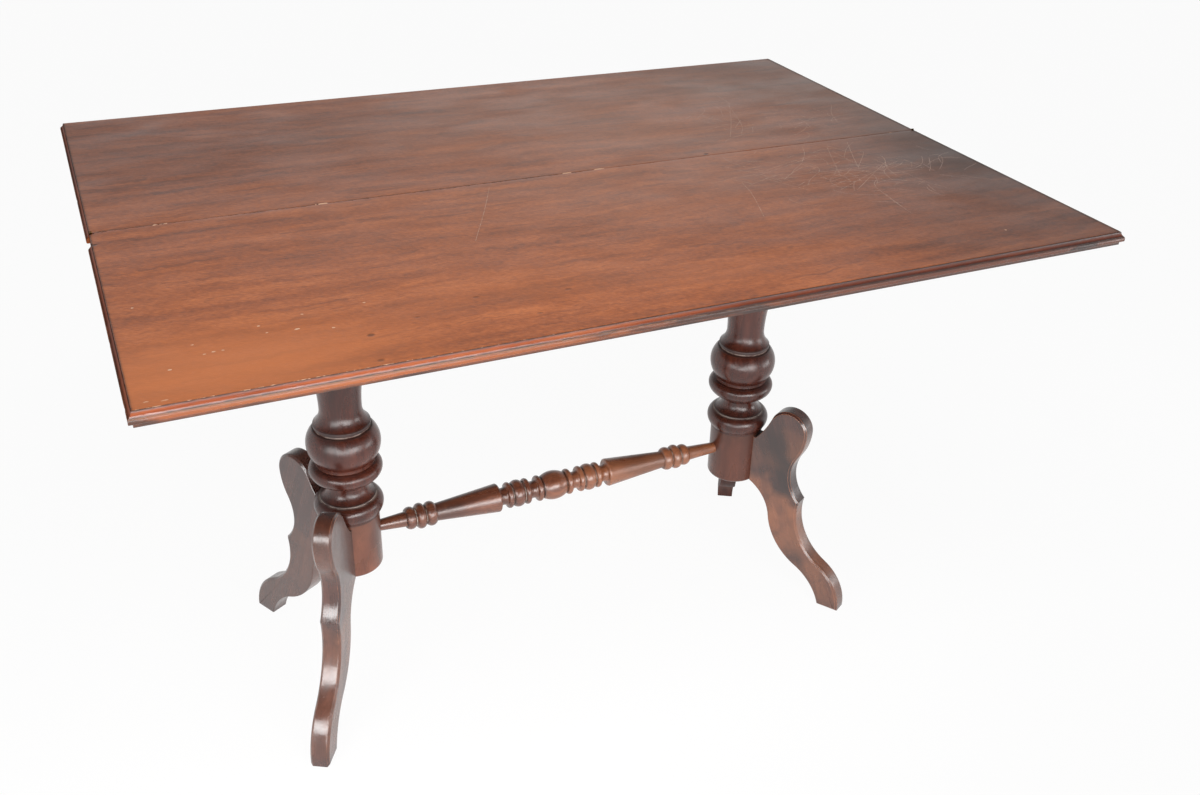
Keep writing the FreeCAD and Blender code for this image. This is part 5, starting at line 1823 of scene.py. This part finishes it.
@dataclass
class Hardware:
    """The hinge plates, their pins and every screw."""

    plate_out: float = 602.0
    plate_screws: tuple[float, float] = (10.0, 24.0)
    plate_screw_height: float = 751.0
    runner_out: float = 284.7
    runner_screws: tuple[float, ...] = (40.0, 150.35, 260.7)
    runner_low: float = 708.0
    screw_steps: int = 28
    plate_arris: float = 0.25

    def screw(self, lathe: LatheTree, material: Material, head: float, shank: float, sink: float,
              length: float) -> Object:
        """Makes a slotted countersunk screw, with its head's face at the origin and its point along -Z.

        Args:
            lathe: The tree that turns a profile.
            material: Its finish.
            head: The head's radius.
            shank: The shank's radius.
            sink: The head's depth.
            length: The whole length.

        Returns:
            The screw, to be copied and then removed.
        """
        shape = Profile(0, -length).line(shank * 0.3, -length + shank).line(shank, -length + shank * 3)
        shape.line(shank, -sink).line(head - 0.1, -0.25).line(head - 0.1, -0.1).line(head - 0.45, -0.02).line(0, -0.02)
        section = shape.eased(0.1)
        mesh = lathe.grow(section.mesh("screw_profile"), Steps_Round=self.screw_steps,
                          Profile_Points=len(section.points), Finish=material)
        slot = box_mesh("screw_slot", [(Vector(), Vector((head * 3, head * 0.26, sink * 0.8)) * MM)])
        return linked("screw_pattern", carved(mesh, slot))

    def set_screws(self, shop: Workshop, tree: ScrewTree, pattern: Object, material: Material,
                   places: Sequence[tuple[Vector, Vector]], body: Body, slot: Slot, node: str) -> None:
        """Sets a row of screws as one piece.

        Args:
            shop: Where pieces are placed.
            tree: The tree that sets a screw at each point.
            pattern: The screw.
            material: Its finish.
            places: The middle of each head's face and the way that it looks.
            body: The body that they ride on.
            slot: The record's finish.
            node: The CAD node that they stand for.
        """
        draw = random.Random(len(places) * 7 + len(node))
        start = bpy.data.meshes.new("screw_places")
        start.from_pydata([tuple(spot * MM) for spot, _ in places], [], [])
        carry(start, "axis", [tuple(axis) for _, axis in places])
        carry(start, "turn", [draw.uniform(0, math.pi) for _ in places])
        mesh = tree.grow(start, Screw=pattern, Finish=material)
        shop.place(f"set_{node}", shop.tidy(mesh), material, body, slot, node)

    def build(self, shop: Workshop, lathe: LatheTree, tree: ScrewTree, finishes: Finishes) -> None:
        """Fits the hinges and the screws.

        Args:
            shop: Where pieces are placed.
            lathe: The tree that turns a profile.
            tree: The tree that sets screws.
            finishes: The table's materials.
        """
        for hand in ("left", "right"):
            for kind, body in (("fixed", Body.TOP), ("moving", Body.FRONT)):
                node = f"{kind}_hinge_plate_{hand}"
                shop.place(f"brass_{node}", shop.softened(node, self.plate_arris), finishes.brass, body, Slot.BRASS,
                           node)
            shop.dress_node(f"hinge_pin_{hand}", finishes.steel)
        small = self.screw(lathe, finishes.brass, head=2.4, shank=1.2, sink=1.6, length=15.0)
        for kind, side, body in (("fixed", 1, Body.TOP), ("moving", -1, Body.FRONT)):
            places = [(Vector((hand * self.plate_out, side * y, self.plate_screw_height)), Vector((hand, 0, 0)))
                      for hand in (-1, 1) for y in self.plate_screws]
            self.set_screws(shop, tree, small, finishes.brass, places, body, Slot.BRASS, f"{kind}_plate_screws")
        bpy.data.objects.remove(small)
        large = self.screw(lathe, finishes.steel, head=4.4, shank=2.2, sink=3.0, length=44.0)
        places = [(Vector((hand * self.runner_out, y, self.runner_low)), Vector((0, 0, -1)))
                  for hand in (-1, 1) for y in self.runner_screws]
        self.set_screws(shop, tree, large, finishes.steel, places, Body.TOP, Slot.STEEL, "runner_screws")
        bpy.data.objects.remove(large)


@dataclass
class UnderFrame:
    """The bearers, rails, runners and wedges below the leaves."""

    bearer_arris: float = 1.2
    runner_arris: float = 0.6
    rail_arris: float = 0.8

    def build(self, shop: Workshop, finishes: Finishes) -> None:
        """Dresses the frame's pieces.

        Args:
            shop: Where pieces are placed.
            finishes: The table's materials.
        """
        across, along = finishes.frame_deep, finishes.frame_long
        pieces = (
            ("bearer_left", self.bearer_arris, across, Body.BASE),
            ("runner_left", self.runner_arris, across, Body.TOP),
            ("bearer_right", self.bearer_arris, across, Body.BASE),
            ("runner_right", self.runner_arris, across, Body.TOP),
            ("rail_front", self.rail_arris, along, Body.BASE),
            ("rail_rear", self.rail_arris, along, Body.BASE))
        for node, arris, finish, body in pieces:
            shop.place(f"dressed_{node}", shop.softened(node, arris), finish, body, Slot.FRAME, node)
        shop.dress_node("tenon_wedges", finishes.wedge)


@dataclass
class Studio:
    """The camera, the floor and the light."""

    eye: tuple[float, float, float] = (-0.6223, -1.4749, 1.3434)
    ahead: tuple[float, float, float] = (0.3924, 0.7752, -0.4950)
    above: tuple[float, float, float] = (0.1834, 0.4614, 0.8680)
    lens: float = 36.51
    shift: tuple[float, float] = (-0.0253, -0.0118)
    reach: float = 30.0
    whiteness: float = 0.94

    def camera(self) -> None:
        """Sets the camera where the photographer stood."""
        data = bpy.data.cameras.new("camera")
        data.sensor_width, data.lens = 36.0, self.lens
        data.shift_x, data.shift_y = self.shift
        back = -Vector(self.ahead).normalized()
        right = Vector(self.above).cross(back).normalized()
        up = back.cross(right)
        camera = bpy.data.objects.new("camera", data)
        camera.matrix_world = Matrix.Translation(self.eye) @ Matrix((right, up, back)).transposed().to_4x4()
        bpy.context.scene.collection.objects.link(camera)
        bpy.context.scene.camera = camera

    def floor(self) -> None:
        """Lays a pale floor that keeps the table's shadow."""
        mesh = bpy.data.meshes.new("floor")
        corners = [(x * self.reach, y * self.reach, 0) for x, y in ((-1, -1), (1, -1), (1, 1), (-1, 1))]
        mesh.from_pydata(corners, [], [(0, 1, 2, 3)])
        paint = Paint("pale_floor")
        mottle = paint.noise(paint.place, 3.0, 3.0)
        colour = paint.mix(mottle, srgb(240, 240, 240), srgb(244, 244, 243))
        matt = paint.node("ShaderNodeBsdfDiffuse", {"Color": colour}).outputs[0]
        white = paint.node("ShaderNodeEmission", {"Color": (1, 1, 1, 1), "Strength": 1.0}).outputs[0]
        rays = paint.node("ShaderNodeLightPath")
        direct = paint.larger(rays.outputs["Is Camera Ray"], rays.outputs["Is Glossy Ray"])
        seen = paint.times(paint.larger(direct, rays.outputs["Is Transmission Ray"]), self.whiteness)
        blend = paint.node("ShaderNodeMixShader", {0: seen, 1: matt, 2: white}).outputs[0]
        paint.node("ShaderNodeOutputMaterial", {"Surface": blend})
        mesh.materials.append(paint.material)
        floor = linked("floor", mesh)

    def world(self) -> None:
        """Puts white light round the horizon, dimmer overhead."""
        world = bpy.data.worlds.new("studio")
        world.use_nodes = True
        graph = Graph(world.node_tree)
        graph.tree.nodes.clear()
        way = graph.node("ShaderNodeTexCoord").outputs["Generated"]
        rise = graph.node("ShaderNodeSeparateXYZ", {0: way}).outputs["Z"]
        strength = graph.span(rise, 0.12, 0.62, 1.0, 0.22)
        light = graph.node("ShaderNodeBackground", {"Color": (1, 1, 1, 1), "Strength": strength}).outputs[0]
        graph.node("ShaderNodeOutputWorld", {"Surface": light})
        bpy.context.scene.world = world

    def lamp(self, name: str, place: Sequence[float], aim: Sequence[float], size: Point, power: float,
             spread: float = 180.0) -> None:
        """Hangs one soft light.

        Args:
            name: The light's name.
            place: Where it hangs.
            aim: What it points at.
            size: Its width and height in metres.
            power: Its power in watts.
            spread: How wide its light fans out, in degrees.
        """
        data = bpy.data.lights.new(name, "AREA")
        data.spread = math.radians(spread)
        data.shape, data.size, data.size_y, data.energy = "RECTANGLE", size[0], size[1], power
        lamp = bpy.data.objects.new(name, data)
        toward = (Vector(aim) - Vector(place)).to_track_quat("-Z", "Y")
        lamp.matrix_world = Matrix.Translation(place) @ toward.to_matrix().to_4x4()
        lamp.visible_camera = False
        bpy.context.scene.collection.objects.link(lamp)

    def build(self) -> None:
        """Sets the studio up."""
        self.camera()
        self.floor()
        self.world()
        self.lamp("over_softbox", (-0.33, -0.95, 2.2), (-0.25, -0.25, 0.76), (1.4, 0.55), 22.0)
        self.lamp("far_softbox", (-1.0, -2.1, 0.44), (0.0, 0.0, 0.35), (1.2, 0.55), 12.5)
        self.lamp("left_softbox", (-0.95, -0.66, 0.54), (-0.42, -0.16, 0.04), (0.6, 0.36), 1.8, 100.0)
        self.lamp("bar_softbox", (0.05, -1.0, 0.5), (-0.1, 0.0, 0.22), (1.0, 0.4), 2.1, 80.0)
        self.lamp("right_softbox", (2.3, -1.2, 0.42), (-0.2, 0.0, 0.3), (1.2, 0.6), 9.0)
        bpy.context.scene.view_settings.view_transform = "Standard"


# The places of wear on the top, traced in millimetres: chips along the seam, long scratches, and clouds of
# short ones, each cloud by its middle, its spread and its count.
REAR_CHIPS = (
    Chip(-589, 8, 2.6, 0.3), Chip(-544, 10, 1.6), Chip(-521, 14, 2.0, 0.6), Chip(-470, 22, 1.0), Chip(-428, 12, 1.3),
    Chip(-327, 9, 2.4, 1.0), Chip(-300, 26, 1.0), Chip(-205, 20, 0.9), Chip(-120, 14, 1.1), Chip(12, 8, 2.3, 0.9),
    Chip(40, 26, 1.4), Chip(61, 9, 2.5, 0.9), Chip(230, 16, 1.0), Chip(330, 24, 1.1), Chip(560, 9, 1.6, 0.5))
FRONT_CHIPS = (
    Chip(-600, 7, 6.0, 0.7), Chip(-588, 7, 3.2, 0.9), Chip(-565, 9, 2.0, 0.3), Chip(-525, 8, 1.5, 0.8),
    Chip(-395, 16, 1.0), Chip(-240, 12, 1.0), Chip(-60, 20, 0.9), Chip(25, 12, 1.6), Chip(140, 15, 1.5),
    Chip(300, 20, 1.0), Chip(470, 14, 1.0))
FRONT_STROKES = (
    ((-107, -15), (-140, -90), (-184, -180)), ((475, -19), (448, -40), (421, -74)),
    ((423, -26), (394, -88), (371, -139)), ((466, -16), (431, -85), (413, -124)),
    ((454, -61), (469, -59), (415, -118)), ((388, -12), (374, -42), (349, -72)),
    ((280, -85), (363, -54), (401, -51), (417, -80)), ((224, -116), (217, -155), (188, -234)),
    ((226, -130), (254, -116), (283, -108)), ((334, -169), (394, -147), (423, -172)),
    ((340, -185), (439, -134), (490, -113)), ((362, -193), (425, -144), (466, -113)),
    ((393, -190), (384, -241), (380, -292)), ((390, -217), (386, -240), (382, -267)),
    ((543, -116), (517, -154), (506, -165)), ((548, -110), (568, -109), (555, -136), (525, -164)),
    ((337, -113), (401, -120), (435, -155), (501, -155)), ((256, -99), (311, -81), (373, -57)))
REAR_STROKES = (
    ((393, 218), (347, 129), (307, 63)), ((386, 210), (368, 149), (351, 100), (332, 72)),
    ((402, 307), (394, 257), (393, 218)), ((553, 155), (524, 116), (509, 74)))
FRONT_CLOUDS = ((400, -130, 60, 45, 46), (320, -120, 70, 50, 28), (480, -140, 40, 40, 18))
REAR_CLOUDS = ((340, 150, 40, 40, 20), (470, 80, 40, 40, 18))


def main() -> None:
    """Builds the table and its studio."""
    logging.basicConfig(level=logging.INFO, format="%(name)s: %(message)s")
    Studio().build()
    finishes, shop = Finishes(), Workshop()
    lathe, run, screws, draw = LatheTree(), MouldingTree(), ScrewTree(), ScratchTree()
    Columns().build(shop, lathe, finishes)
    Stretcher().build(shop, lathe, finishes)
    Legs().build(shop, finishes)
    Leaf("rear", 1, Body.TOP, REAR_CHIPS, seed=11).build(shop, run, finishes)
    Leaf("front", -1, Body.FRONT, FRONT_CHIPS, seed=23).build(shop, run, finishes)
    front = Scratches("scratches_front", Body.FRONT, FRONT_STROKES, FRONT_CLOUDS, limit=(-430, -8), seed=5)
    front.build(shop, draw, finishes)
    rear = Scratches("scratches_rear", Body.TOP, REAR_STROKES, REAR_CLOUDS, limit=(8, 430), seed=9)
    rear.build(shop, draw, finishes)
    UnderFrame().build(shop, finishes)
    Hardware().build(shop, lathe, screws, finishes)
    LOG.info("%d pieces", len(shop.made))


if __name__ == "__main__":
    main()
